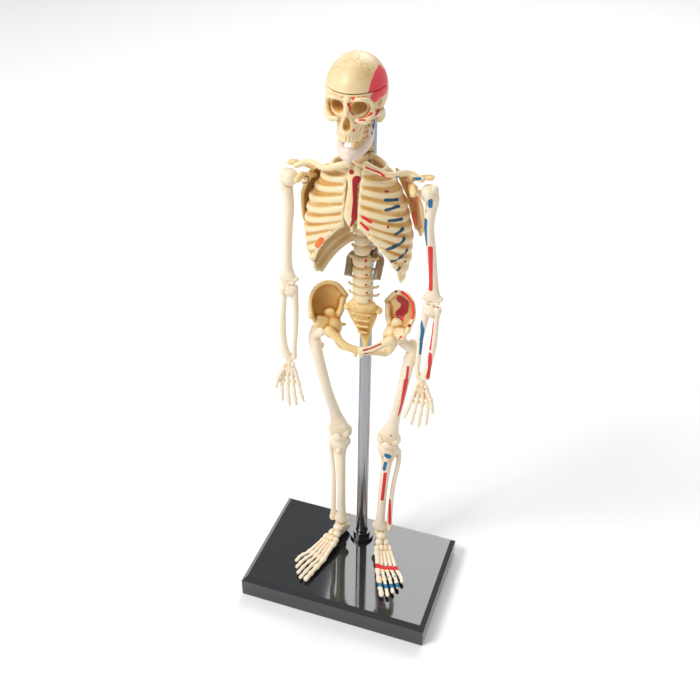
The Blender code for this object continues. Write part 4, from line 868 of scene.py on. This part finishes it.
def rib_cage_solids():
    """Wall of one side, its ribs, and the gristle that fans up from the lower ribs."""
    angle = np.linspace(0.17, math.radians(164), 46)[None, :]
    v = np.linspace(0, 1, 40)[:, None]
    top = rib_drop(0, angle) - 0.4
    drop = top + v * (lower_edge(angle) - top)
    z = THORAX - drop
    narrow = 2.3 / np.maximum(chest(z)[0], 1)
    spread = np.where(angle < 1.0, narrow + (angle - 0.17) * (1.0 - narrow) / 0.83, angle)
    wall = plate(on_chest(spread, z, -0.55), 0.85)
    solids = [wall]
    ends = [9, 9, 9, 9, 9, 9, 10, 22, 35, 50, 74, 104]
    for index, first in enumerate(ends):
        along = np.linspace(math.radians(first), math.radians(166), 34)
        level = THORAX - rib_drop(index, along)
        if index in (7, 8, 9):
            level = THORAX - np.minimum(rib_drop(index, along), lower_edge(along) - 0.6)
        path = on_chest(along, level, -0.35)
        path[:, 0] = np.maximum(path[:, 0], 2.5)
        thick = 0.72 + 0.1 * np.sin(np.linspace(0, math.pi, 34))
        tall = np.full(34, 1.28 if index else 1.1)
        tall[:2] *= 0.85
        solids.append(tube(path, np.stack([tall, thick], axis=1), 34, 10, (0, 0, 1), ends=index > 6))
    return solids


def rib_windows():
    """Small openings between the lower ribs."""
    spots = [(62, 8.5, 1.5, 1.0), (84, 8.5, 1.2, 0.8), (60, 9.5, 1.6, 0.9), (74, 9.5, 1.3, 0.9),
             (72, 10.5, 1.2, 0.8)]
    cuts = []
    for degrees, index, long, tall in spots:
        angle = np.array(math.radians(degrees))
        z = THORAX - rib_drop(index, angle)
        outer, inner = on_chest(angle, z, 2.0), on_chest(angle, z, -2.5)
        cuts.append(tube([outer, inner], [(tall, long)] * 2, 4, 12, (0, 0, 1), ends=False))
    return cuts


# %% Rib cage halves and breast bone
for side, hand in (("left", 1), ("right", -1)):
    bone("rib_cage_%s_bone_skin" % side, mirrored(rib_cage_solids(), hand), "trunk", IVORY, 0.28,
         mirrored(rib_windows(), hand))


def sternum_solids():
    """Six-sided handle above, long blade below, and a small tip."""
    share = np.array([0.0, 0.08, 0.2, 0.3, 0.45, 0.65, 0.85, 0.95, 1.0])
    z = THORAX - 0.6 - share * 18.6
    front = chest(z)[1] + 0.25
    half = np.array([1.5, 2.4, 2.4, 1.7, 1.75, 2.1, 2.3, 1.5, 0.8])
    return [tube(np.stack([0 * z, front, z], axis=1),
                 np.stack([half, np.full(9, 0.85)], axis=1), 30, 14),
            tube([(0.2, front[-1] + 0.3, z[-1] + 0.4), (0.4, front[-1] + 0.9, z[-1] - 3.0)],
                 [(0.8, 0.5), (0.5, 0.4)], 6, 8)]


bone("sternum_bone_skin", sternum_solids(), "trunk", IVORY, 0.22)


# %% [markdown]
# ## Shoulders and arms
# The shoulder blade is a curved triangle of thin plate behind the ribs, with a ridge, a roof over
# the joint, a beak in front and a stout neck. The long bones are single tubes that swell at both
# ends. The hand is a small block with five rays, each a row of short tubes with knuckles.

# %% Collar bones and shoulder blades
def clavicle_solids():
    """S-shaped tube from the breast bone to the roof of the shoulder."""
    front = float(chest(THORAX - 1.0)[1])
    return [tube([(3.0, front - 0.7, THORAX + 0.6), (6.2, front - 1.5, THORAX - 0.1),
                  (11.0, front - 0.9, THORAX - 1.7),
                  (16.5, front + 2.2, THORAX - 1.6), tuple(SHOULDER + (-2.6, -0.4, 4.9))],
                 [(1.5, 1.45), (1.15, 1.15), (1.05, 1.05), (1.05, 1.1), (0.9, 1.4)], 26, 12,
                 (0.0, 0.0, 1.0))]


def scapula_solids():
    """Blade, rims, ridge with its roof, beak and joint neck."""
    v, u = np.linspace(0, 1, 16)[:, None], np.linspace(0, 1, 14)[None, :]
    z = THORAX - 5.6 - 21.0 * v + 0.0 * u
    first, last = math.radians(84), math.radians(131)
    angle = first + (last - first) * u * (1 - 0.62 * v ** 1.3) + math.radians(17) * v
    grid = on_chest(angle, z,
                    1.75 + 0.35 * np.sin(math.pi * u) * (1 - v) + 2.9 * (1 - u) ** 1.5 * (1 - v) ** 0.6)
    corner = on_chest(np.array(first), THORAX - 7.0, 4.4)
    socket = np.array([SHOULDER[0] - 5.2, SHOULDER[1] + 0.3, SHOULDER[2]])
    root = on_chest(np.array(math.radians(128)), THORAX - 9.5, 2.6)
    bend = on_chest(np.array(math.radians(100)), THORAX - 6.6, 4.0)
    beak = socket + (0.4, -0.3, 1.6)
    return [plate(grid, 0.75 + 0.25 * v + 0 * u),
            tube(grid[:, 0] + (0.2, 0, 0), [(0.75, 0.75)] * 16, 16, 8),
            tube(grid[:, -1], [(0.55, 0.55)] * 16, 16, 8),
            tube([corner + (-0.4, 2.4, -1.6), corner + (0.4, -0.6, -0.4), socket],
                 [(1.0, 1.1), (1.3, 1.5), (1.6, 2.1)], 10, 12, (0, 1, 0)),
            tube([root, bend, tuple(SHOULDER + (-1.0, 4.4, 4.2)), tuple(SHOULDER + (-0.6, 0.8, 5.1))],
                 [(0.5, 0.6), (0.85, 0.8), (0.7, 1.3), (0.75, 1.7)], 18, 12, (0, 0, 1)),
            tube([beak, beak + (-0.4, -2.2, 1.2), beak + (0.5, -4.6, 0.2)],
                 [(1.1, 1.1), (1.0, 1.0), (1.15, 1.15)], 10, 12, (0, 0, 1))]


for side, hand in (("left", 1), ("right", -1)):
    bone("clavicle_%s_bone_skin" % side, mirrored(clavicle_solids(), hand), "trunk", IVORY, 0.2)
    bone("scapula_%s_bone_skin" % side, mirrored(scapula_solids(), hand), "trunk", AMBER, 0.24,
         mirrored([tube([tuple(SHOULDER + (-7.4, 0, 0)), tuple(SHOULDER)], [(1.4, 1.4)] * 2, 4, 12,
                        (0, 0, 1))], hand))


# %% Upper arm, forearm and hand
def humerus_solids(shoulder, elbow):
    """Round head, greater and lesser knobs, shaft, flared elbow end and the shoulder pin."""
    mid = (shoulder + elbow) / 2
    return [ball(shoulder + (-0.2, 0.1, 0.2), (3.0, 3.0, 3.1)),
            tube([shoulder + (1.2, 0.1, 1.6), shoulder + (1.3, 0.3, -2.6), shoulder + (0.5, 0.4, -8.0)],
                 [(1.8, 2.1), (2.1, 2.1), (1.6, 1.65)], 16, 14),
            tube([shoulder + (0.9, 0.3, -4.0), shoulder + (0.5, 0.4, -12.0), mid + (0.3, 0, 0),
                  elbow + (0, 0, 9.0),
                  elbow + (0, 0, 4.4)], [(2.1, 2.1), (1.8, 1.8), (1.65, 1.7), (1.8, 1.6), (2.9, 1.6)],
                 34, 14),
            tube([elbow + (-3.0, 0.1, 3.1), elbow + (0, 0, 3.3), elbow + (2.8, 0.1, 3.2)],
                 [(1.1, 1.1), (1.5, 1.3), (1.2, 1.2)], 12, 12, (0, 1, 0)),
            tube([elbow + (-1.9, -0.1, 1.8), elbow + (-0.4, -0.1, 1.7), elbow + (2.0, -0.1, 1.8)],
                 [(1.5, 1.0), (1.1, 0.8), (1.4, 1.0)], 12, 12, (0, 1, 0)),
            tube([shoulder + (-5.6, 0, 0), shoulder], [(1.05, 1.05)] * 2, 5, 12, (0, 0, 1))]


def forearm_solids(elbow, wrist):
    """Ulna with its hook, radius with its disc and broad wrist end, and the two end bridges."""
    top, low = elbow + (0, 0, -0.5), wrist + (0, 0, 0.9)
    mid = (top + low) / 2
    return [tube([top + (0.4, 0, -0.9), top + (0, 0, -2.0), top + (0, 0, -3.2)],
                 [(3.2, 1.6), (3.3, 1.8), (2.4, 1.3)], 8, 14),
            tube([top + (-2.0, 0.6, -0.6), top + (-2.2, 0.6, -5.0), mid + (-2.5, 0.7, 2),
                  low + (-2.0, 0.4, 6.0),
                  low + (-1.8, 0.2, 1.2)],
                 [(1.6, 1.7), (1.35, 1.4), (1.15, 1.15), (1.05, 1.05), (1.2, 1.2)], 30, 12),
            tube([top + (2.0, -0.2, -0.9), top + (2.0, -0.2, -2.2), top + (1.9, -0.2, -5.0),
                  mid + (2.5, -0.2, 0),
                  low + (2.0, -0.1, 7.0), low + (1.2, 0, 1.6)],
                 [(1.7, 1.6), (1.6, 1.5), (1.15, 1.1), (1.35, 1.15), (1.4, 1.2), (2.1, 1.4)], 32, 12),
            tube([low + (0, 0, 1.8), low + (0, 0, 0.7)], [(2.2, 0.9), (2.3, 1.0)], 5, 14),
            tube([top + (0, 0, -1.5), top + (0, 0, 2.0)], [(1.05, 1.05)] * 2, 5, 12)]


def ray(points, radius, joints):
    """Thin finger or toe: a tube that swells at each of its joints."""
    share = np.linspace(0, 1, 40)
    swell = 1 + 0.38 * sum(np.exp(-((share - at_share) / 0.045) ** 2) for at_share in joints)
    taper = radius * (1 - 0.22 * share) * swell
    return tube(curve(points, 40), np.stack([taper, taper * 0.92], axis=1), 40, 10, (1.0, 0.2, 0.1))


def hand_solids(wrist):
    """Wrist bones as a cluster of balls, four finger rays, the thumb, and the wrist peg."""
    top = wrist + (0, 0, 0.4)
    solids = [tube([top + (0, 0, -0.6), top + (0.1, -0.2, -3.2), top + (0.3, -0.4, -5.2)],
                   [(1.9, 0.9), (2.5, 1.0), (2.6, 0.8)], 10, 16),
              tube([top + (0, 0, -1.5), top + (0, 0, 2.1)], [(0.85, 0.85)] * 2, 5, 12)]
    for x, z in ((-1.5, -1.6), (0.2, -1.3), (1.7, -1.8), (-1.8, -3.7), (-0.3, -3.9), (1.0, -3.8),
                 (2.3, -3.5)):
        solids.append(ball(top + (x, -0.3, z), (0.95, 1.05, 1.0), 9, 12))
    for index, reach in enumerate((19.0, 20.9, 20.2, 17.6)):
        x = 2.6 - 1.75 * index
        root, knuckle = top + (x * 0.85, -0.4, -4.4), top + (x * 1.25 - 0.2, -0.7, -10.0)
        tip = top + (x * 1.7 - 1.3, -1.9, -reach)
        solids.append(ray([root, knuckle, (knuckle + tip) / 2 + (0, -0.5, 0), tip], 0.86,
                          (0.34, 0.62, 0.82)))
    solids.append(ray([top + (2.2, -0.5, -3.6), top + (4.2, -1.6, -7.6), top + (5.3, -2.6, -12.4)],
                      0.95, (0.42, 0.74)))
    return solids


for side, hand in (("left", 1), ("right", -1)):
    shoulder = at("shoulder_swing_" + side) * (hand, 1, 1)
    elbow = at("elbow_turn_" + side) * (hand, 1, 1)
    wrist = at("wrist_turn_" + side) * (hand, 1, 1)
    bone("humerus_%s_bone_skin" % side, mirrored(humerus_solids(shoulder, elbow), hand),
         side + "_upper_arm", PALE, 0.24)
    bone("forearm_%s_bone_skin" % side, mirrored(forearm_solids(elbow, wrist), hand),
         side + "_forearm", PALE, 0.22)
    bone("hand_%s_bone_skin" % side, mirrored(hand_solids(wrist), hand), side + "_hand", PALE, 0.2)


# %% [markdown]
# ## Hip bones
# A hip bone is an ear-shaped wing above the joint socket and a ring below it. The wing is a plate
# stretched between a curve just above the socket and the long curve of its crest, hollowed towards
# the front. Tubes round the rim thicken it, and tubes make the two bars that meet in the middle.

# %% Hip bone
def hip_solids():
    """Wing with its rims, socket cup, bar to the sacrum, front bar, and the ring under the socket."""
    hip, top = HIP, HIP[2] + 17.0
    crest = curve([(18.6, hip[1] - 5.4, top - 9.0), (19.7, hip[1] - 2.4, top - 4.6),
                   (18.6, hip[1] + 1.0, top - 1.2),
                   (15.4, hip[1] + 3.6, top + 0.4), (11.4, hip[1] + 5.2, top - 0.8),
                   (8.0, hip[1] + 5.8, top - 5.4)], 24)
    neck = curve([(16.8, hip[1] - 4.0, hip[2] + 3.0), (16.3, hip[1] - 1.6, hip[2] + 4.2),
                  (14.2, hip[1] + 1.0, hip[2] + 4.8),
                  (11.4, hip[1] + 2.8, hip[2] + 4.8), (8.9, hip[1] + 4.4, hip[2] + 5.4)], 24)
    v = np.linspace(0, 1, 20)[:, None, None]
    along = np.linspace(0, 1, 24)[None, :, None]
    bulge = np.sin(math.pi * v) * np.sin(math.pi * np.clip(along * 1.15, 0, 1)) * np.array([1.9, 1.9,
                                                                                            0.0])
    grid = neck[None] * (1 - v) + crest[None] * v + bulge
    rim = np.interp(np.linspace(0, 1, 24), [0, 0.25, 0.6, 1], [0.95, 0.75, 0.85, 1.1])
    return [plate(grid, 0.95),
            tube(crest, np.column_stack([rim, rim]), 40, 12),
            tube(grid[:, 0], [(0.8, 0.8)] * 20, 20, 10),
            ball((18.5, hip[1] - 5.6, top - 9.4), (1.1, 1.3, 1.3)),
            ball((16.6, hip[1] - 4.4, hip[2] + 3.4), (1.3, 1.3, 1.6)),
            ball(hip + (-1.4, 0, 0.4), (3.9, 4.4, 4.7)),
            tube([hip + (-2.4, 1.6, 3.0), hip + (-4.0, 3.6, 6.4), (8.7, hip[1] + 4.6, hip[2] + 10.5)],
                 [(1.6, 1.9), (1.3, 2.3), (1.2, 2.4)], 12, 12),
            tube([hip + (-1.2, -3.6, 1.0), hip + (-4.6, -5.0, -1.0), hip + (-8.4, -6.0, -3.2),
                  (0.7, hip[1] - 6.2, hip[2] - 4.6)],
                 [(2.1, 1.9), (1.6, 1.5), (1.4, 1.3), (1.9, 1.2)], 20, 12, (0, 0, 1)),
            tube([(16.4, hip[1] - 3.8, hip[2] + 4.6), hip + (0.4, -1.6, 2.6)], [(1.5, 2.2), (2.4, 2.6)],
                 8, 12),
            tube([(13.6, hip[1] + 1.4, hip[2] + 5.6), hip + (-1.0, 0.6, 2.6)], [(2.6, 1.7), (2.8, 2.4)],
                 8, 12),
            tube([(1.1, hip[1] - 6.2, hip[2] - 3.9), (1.1, hip[1] - 5.4, hip[2] - 7.4)],
                 [(0.75, 1.1), (0.7, 1.0)], 8, 10),
            tube([hip + (-1.6, 2.4, -2.6), hip + (-2.4, 4.0, -7.2), hip + (-4.4, 3.6, -10.4),
                  hip + (-7.4, 0.2, -8.8),
                  (1.5, hip[1] - 5.0, hip[2] - 5.9)],
                 [(1.9, 2.0), (1.8, 1.8), (1.6, 1.7), (1.0, 1.2), (0.9, 1.0)],
                 30, 12, (1.0, 0.0, 0.3)),
            tube([hip + (-3.0, 3.6, -0.6), hip + (-5.4, 5.0, -1.2)], [(0.9, 1.2), (0.4, 0.6)], 6, 8)]


def hip_cuts():
    """Round socket and its open mouth."""
    return [ball(HIP, (3.5, 3.5, 3.5)),
            tube([HIP, HIP + (2.0, 0.2, -0.6), HIP + (5.0, 0.5, -2.0)],
                 [(2.7, 2.7), (3.3, 3.3), (4.7, 4.7)], 8, 16, (0, 1, 0))]


for side, hand in (("left", 1), ("right", -1)):
    bone("hip_bone_%s_bone_skin" % side, mirrored(hip_solids(), hand), "trunk",
         IVORY if hand > 0 else AMBER, 0.26,
         mirrored(hip_cuts(), hand))


# %% [markdown]
# ## Legs and feet
# The thigh bone leaves its ball by a slanting neck, turns down at a big knob and flares into two
# rollers at the knee. The shin has a stout bone and a thin one. The foot is a cluster of ankle
# bones with five separate rays, so that daylight shows between the toes.

# %% Thigh, knee cap and shin
def femur_solids():
    """Ball, neck, greater and lesser knobs, shaft, and the two rollers of the knee with their peg."""
    knob = np.array([19.5, HIP[1] + 1.2, HIP[2] - 5.4])
    mid = (knob + KNEE) / 2
    return [ball(HIP, (3.0, 3.0, 3.0), 17, 22),
            tube([HIP + (0.6, 0.1, -0.4), (HIP + knob) / 2 + (0, 0, -0.2), knob],
                 [(1.9, 2.0), (1.7, 2.1), (1.8, 2.3)], 12, 14, (0, 1, 0)),
            tube([knob + (-0.2, 0.6, 2.6), knob + (0, 0.2, -1.6), knob + (-0.6, 0, -6.0)],
                 [(1.5, 1.7), (2.4, 2.3), (2.4, 2.3)], 12, 14),
            ball(knob + (-2.6, 1.4, -5.6), (1.1, 1.1, 1.5)),
            tube([knob + (-0.4, 0, -3.0), knob + (-1.7, -0.4, -10.0), mid + (-0.1, -0.9, 0),
                  KNEE + (2.0, -0.4, 14.0),
                  KNEE + (0.4, 0, 7.2)],
                 [(2.4, 2.3), (2.25, 2.2), (2.15, 2.15), (2.4, 2.2), (3.9, 2.4)], 40, 16),
            tube([KNEE + (0, -0.2, 7.4), KNEE + (0, 0, 4.4)], [(3.9, 2.4), (4.8, 2.7)], 8, 16),
            ball(KNEE + (-2.8, 0.5, 3.7), (2.5, 3.1, 2.9)),
            ball(KNEE + (2.8, 0.5, 3.7), (2.4, 3.0, 2.8)),
            tube([KNEE + (0, 0, 3.0), KNEE + (0, 0, -1.8)], [(1.05, 1.05)] * 2, 5, 12)]


def shin_solids():
    """Tibia with its broad top and front crest, fibula with its two heads."""
    top, low = KNEE + (0, 0, -0.2), ANKLE + (0, 0, 0.5)
    mid = (top + low) / 2
    return [tube([top + (0, 0, -1.1), top + (0, 0, -2.6), top + (-0.3, -0.2, -8.0),
                  mid + (-0.4, -0.4, 2.0),
                  low + (-0.2, 0, 7.0), low + (-0.3, 0, 3.0), low + (-0.2, 0, 1.2)],
                 [(4.9, 3.0), (4.7, 3.0), (2.6, 2.5), (2.0, 2.1), (2.0, 2.0), (2.8, 2.3), (3.3, 2.4)],
                 50, 16),
            ball(top + (-0.2, -2.5, -5.2), (1.2, 0.9, 1.9)),
            ball(low + (-2.7, 0, 1.2), (1.1, 1.4, 1.7)),
            tube([top + (3.9, 1.4, -3.4), top + (4.2, 1.8, -6.0), top + (4.2, 2.0, -11.0),
                  mid + (3.5, 1.4, 0), low + (3.7, 0.9, 6.0),
                  low + (3.9, 0.4, 0.6)], [(1.6, 1.6), (1.3, 1.3), (1.1, 1.1), (1.05, 1.05), (1.2, 1.2),
                                           (1.5, 1.5)], 44, 12),
            tube([low + (2.0, 0.2, 2.2), low + (3.8, 0.5, 2.6)], [(1.4, 1.1), (1.0, 1.0)], 5, 10,
                 (0, 0, 1))]


def knee_cap_solids():
    """Rounded heart: a flattened ball with a small point below."""
    middle = np.array([KNEE[0], KNEE[1] - 4.82, KNEE[2] + 3.6])
    return [ball(middle + (0, 0, 0.2), (2.05, 0.95, 1.9)),
            ball(middle + (0, 0.05, -1.1), (1.2, 0.8, 1.3))]


# %% Foot
TOE_OUT = math.radians(23)


def foot_place(points):
    """Foot drawn straight, toes to -y with the ankle at 0, turned out and moved under the ankle."""
    points = np.asarray(points, dtype=float)
    x, y = points[..., 0], points[..., 1]
    return np.stack([ANKLE[0] + math.cos(TOE_OUT) * x - math.sin(TOE_OUT) * y,
                     ANKLE[1] + math.sin(TOE_OUT) * x + math.cos(TOE_OUT) * y, SOLE + points[..., 2]],
                    axis=-1)


def foot_solids():
    """Heel, ankle drum, arch bones as balls, five long rays with knuckles, and the ankle peg."""
    def lump(x, y, z, a, b, c):
        return ball((x, y, z), (a, b, c), 11, 14)

    solids = [tube([(0, 4.0, 2.4), (0, 1.4, 2.9), (0.2, -2.0, 3.2)],
                   [(1.8, 2.3), (2.1, 2.7), (2.2, 2.6)], 12, 14),
              tube([(0, 0.2, 4.4), (0, 0, 7.5)], [(2.7, 2.4), (2.6, 2.3)], 8, 16, ends=False),
              lump(0, -1.6, 5.6, 2.5, 2.6, 2.1), lump(-1.4, -4.6, 4.6, 1.9, 2.0, 2.0),
              lump(1.4, -4.2, 3.4, 1.9, 2.3, 1.9),
              lump(-2.7, -7.2, 3.7, 1.5, 1.6, 1.6), lump(-0.9, -7.4, 4.0, 1.3, 1.6, 1.5),
              lump(0.8, -7.3, 3.4, 1.3, 1.7, 1.4),
              lump(2.6, -7.2, 2.6, 1.5, 2.0, 1.4),
              tube([(0, 0, 6), (0, 0, 10.2)], [(1.05, 1.05)] * 2, 5, 12)]
    for index, tip in enumerate((-31.6, -32.2, -30.8, -28.6, -25.9)):
        x0, x1, x2 = -3.0 + index * 1.45, -4.3 + index * 2.05, -4.9 + index * 2.5
        big = 1.15 if index == 0 else 0.84
        solids.append(ray([(x0, -8.4, 3.4 - index * 0.28),
                           (x0 * 0.5 + x1 * 0.5, -13.5, 2.7 - index * 0.18), (x1, -18.8, 1.4),
                           (x2 * 0.97, (tip - 18.8) / 2, 1.5), (x2, tip + 0.7, 0.9)], big,
                          (0.05, 0.46, 0.66, 0.84, 0.97)))
    return [(foot_place(points), faces) for points, faces in solids]


for side, hand in (("left", 1), ("right", -1)):
    bone("femur_%s_bone_skin" % side, mirrored(femur_solids(), hand), side + "_thigh", PALE, 0.27)
    bone("patella_%s_bone_skin" % side, mirrored(knee_cap_solids(), hand), side + "_thigh", PALE, 0.2)
    bone("shin_%s_bone_skin" % side, mirrored(shin_solids(), hand), side + "_shin", PALE, 0.25)
    bone("foot_%s_bone_skin" % side, mirrored(foot_solids(), hand), side + "_foot", PALE, 0.2)


# %% [markdown]
# ## Stand
# The base, collar and pole of the imported part already have the right shape, so they stay and only
# get better finishes. The fork is made again, as a clip round the pole and two bars; the bars of the
# real fork have rounded ends with pale discs, which these flat-ended bars leave out.

# %% Polished black, drawn tube and smoky plastic
def gloss_black(name):
    """Near-black plastic; faint noise in the roughness gives the haze of handling."""
    material, tree, shader, place = new_material(name)
    haze = noise(tree, place, 60.0, 5.0)
    tree.links.new(mix(tree, haze, (0.008, 0.009, 0.011), (0.016, 0.018, 0.022)),
                   shader.inputs["Base Color"])
    tree.links.new(ramp_between(tree, haze, 0.03, 0.10), shader.inputs["Roughness"])
    socket(shader, "Specular IOR Level", 0.65)
    socket(shader, "Coat Weight", 0.4)
    socket(shader, "Coat Roughness", 0.03)
    return material


def drawn_tube(name):
    """Bright metal; noise squeezed along the tube draws fine lengthwise scratches."""
    material, tree, shader, place = new_material(name)
    stretch = tree.nodes.new("ShaderNodeMapping")
    tree.links.new(place, stretch.inputs["Vector"])
    socket(stretch, "Scale", (1.0, 1.0, 0.03))
    lines = noise(tree, stretch.outputs["Vector"], 2600.0, 3.0)
    tree.links.new(mix(tree, lines, (0.30, 0.31, 0.34), (0.44, 0.44, 0.46)),
                   shader.inputs["Base Color"])
    tree.links.new(ramp_between(tree, lines, 0.18, 0.30), shader.inputs["Roughness"])
    socket(shader, "Metallic", 1.0)
    return material


def smoke(name):
    """Brown-grey see-through plastic, a little cloudy."""
    material, tree, shader, place = new_material(name)
    cloud = noise(tree, place, 240.0, 3.0)
    tree.links.new(mix(tree, cloud, (0.34, 0.24, 0.14), (0.52, 0.40, 0.26)),
                   shader.inputs["Base Color"])
    tree.links.new(ramp_between(tree, cloud, 0.12, 0.22), shader.inputs["Roughness"])
    socket(shader, "Transmission Weight", 0.35)
    socket(shader, "IOR", 1.49)
    socket(shader, "Coat Weight", 0.3)
    return material


def dress(node, look):
    """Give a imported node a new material."""
    item = frame["nodes"][node]
    for slot in item.material_slots:
        slot.material = look
    print(node, "wears", look.name)


dress("base_plate", gloss_black("polished_black"))
dress("pole_collar", gloss_black("collar_black"))
dress("support_pole", drawn_tube("drawn_tube"))


# %% Fork
def fork_solids():
    """Clip round the pole and two bars that reach forward and down beside the spine."""
    level = LOIN - 3.0
    angle = np.linspace(math.radians(-218), math.radians(38), 40)
    clip = np.stack([(POLE_RADIUS + 1.1) * np.cos(angle), POLE_Y - (POLE_RADIUS + 1.1) * np.sin(angle),
                     np.full(40, level)], axis=1)
    bar = tube([(POLE_RADIUS + 1.3, POLE_Y - 0.4, level + 0.2), (5.5, POLE_Y - 2.9, level - 0.4),
                (5.5, POLE_Y - 5.4, level - 2.9), (5.4, POLE_Y - 7.9, level - 5.6)], [(1.5, 1.5)] * 4,
               22, 16,
               (0.0, 0.7, -0.7), ends=False)
    return [tube(clip, [(2.2, 0.7)] * 40, 40, 10, (0, 0, 1))] + both([bar])


bone("spine_fork_bars", fork_solids(), "trunk", smoke("smoky_plastic"), 0.22, passes=1,
     node="spine_fork")


# %% [markdown]
# ## Floor, light and camera
# A pale floor, a wide soft light from above and a bright panel behind give the soft shadow under
# the base and the sheen on its top. The camera looks down from the front left of the figure.

# %% Floor and lights
floor_mesh = bpy.data.meshes.new("studio_floor")
floor_mesh.from_pydata([(-4, -4, 0), (4, -4, 0), (4, 6, 0), (-4, 6, 0)], [], [(0, 1, 2, 3)])
floor = bpy.data.objects.new("studio_floor", floor_mesh)
bpy.context.scene.collection.objects.link(floor)
paper = bpy.data.materials.new("white_paper")
paper.use_nodes = True
paper_shader = paper.node_tree.nodes["Principled BSDF"]
socket(paper_shader, "Base Color", (0.93, 0.93, 0.93, 1.0))
socket(paper_shader, "Roughness", 0.9)
floor_mesh.materials.append(paper)

world = bpy.data.worlds.new("studio")
bpy.context.scene.world = world
world.use_nodes = True
socket(world.node_tree.nodes["Background"], "Color", (1.0, 1.0, 1.0, 1.0))
socket(world.node_tree.nodes["Background"], "Strength", 0.52)
bpy.context.scene.view_settings.view_transform = "Standard"


def panel(name, place, target, size, power):
    """Square area light at a place, turned towards a target."""
    light = bpy.data.lights.new(name, "AREA")
    light.energy = power
    light.size = size
    item = bpy.data.objects.new(name, light)
    item.location = place
    away = np.asarray(target, dtype=float) - np.asarray(place, dtype=float)
    item.rotation_euler = (math.acos(-away[2] / np.linalg.norm(away)), 0.0,
                           math.atan2(away[0], -away[1]) + math.pi)
    bpy.context.scene.collection.objects.link(item)


panel("key", (-0.55, -0.55, 0.95), (0, 0, 0.1), 0.4, 9.0)
panel("back", (0.0, 0.86, 0.88), (0, 0, 0.05), 0.6, 5.5)

# %% Camera
camera = bpy.data.cameras.new("camera")
camera.lens = 48.19
camera.sensor_width = 36.0
camera.clip_start = 0.01
eye = bpy.data.objects.new("camera", camera)
eye.location = (0.0928, -0.27133, 0.32678)
azimuth, pitch, roll = 0.3343, 0.6172, 0.0092
back = np.array([math.sin(azimuth) * math.cos(pitch), -math.cos(azimuth) * math.cos(pitch),
                 math.sin(pitch)])
right = np.array([math.cos(azimuth), math.sin(azimuth), 0.0])
up = np.cross(back, right)
right, up = (right * math.cos(roll) + up * math.sin(roll), up * math.cos(roll) - right * math.sin(roll))
eye.rotation_mode = "QUATERNION"
eye.rotation_quaternion = mathutils.Matrix(np.stack([right, up, back], axis=1).tolist()).to_quaternion()
bpy.context.scene.collection.objects.link(eye)
bpy.context.scene.camera = eye
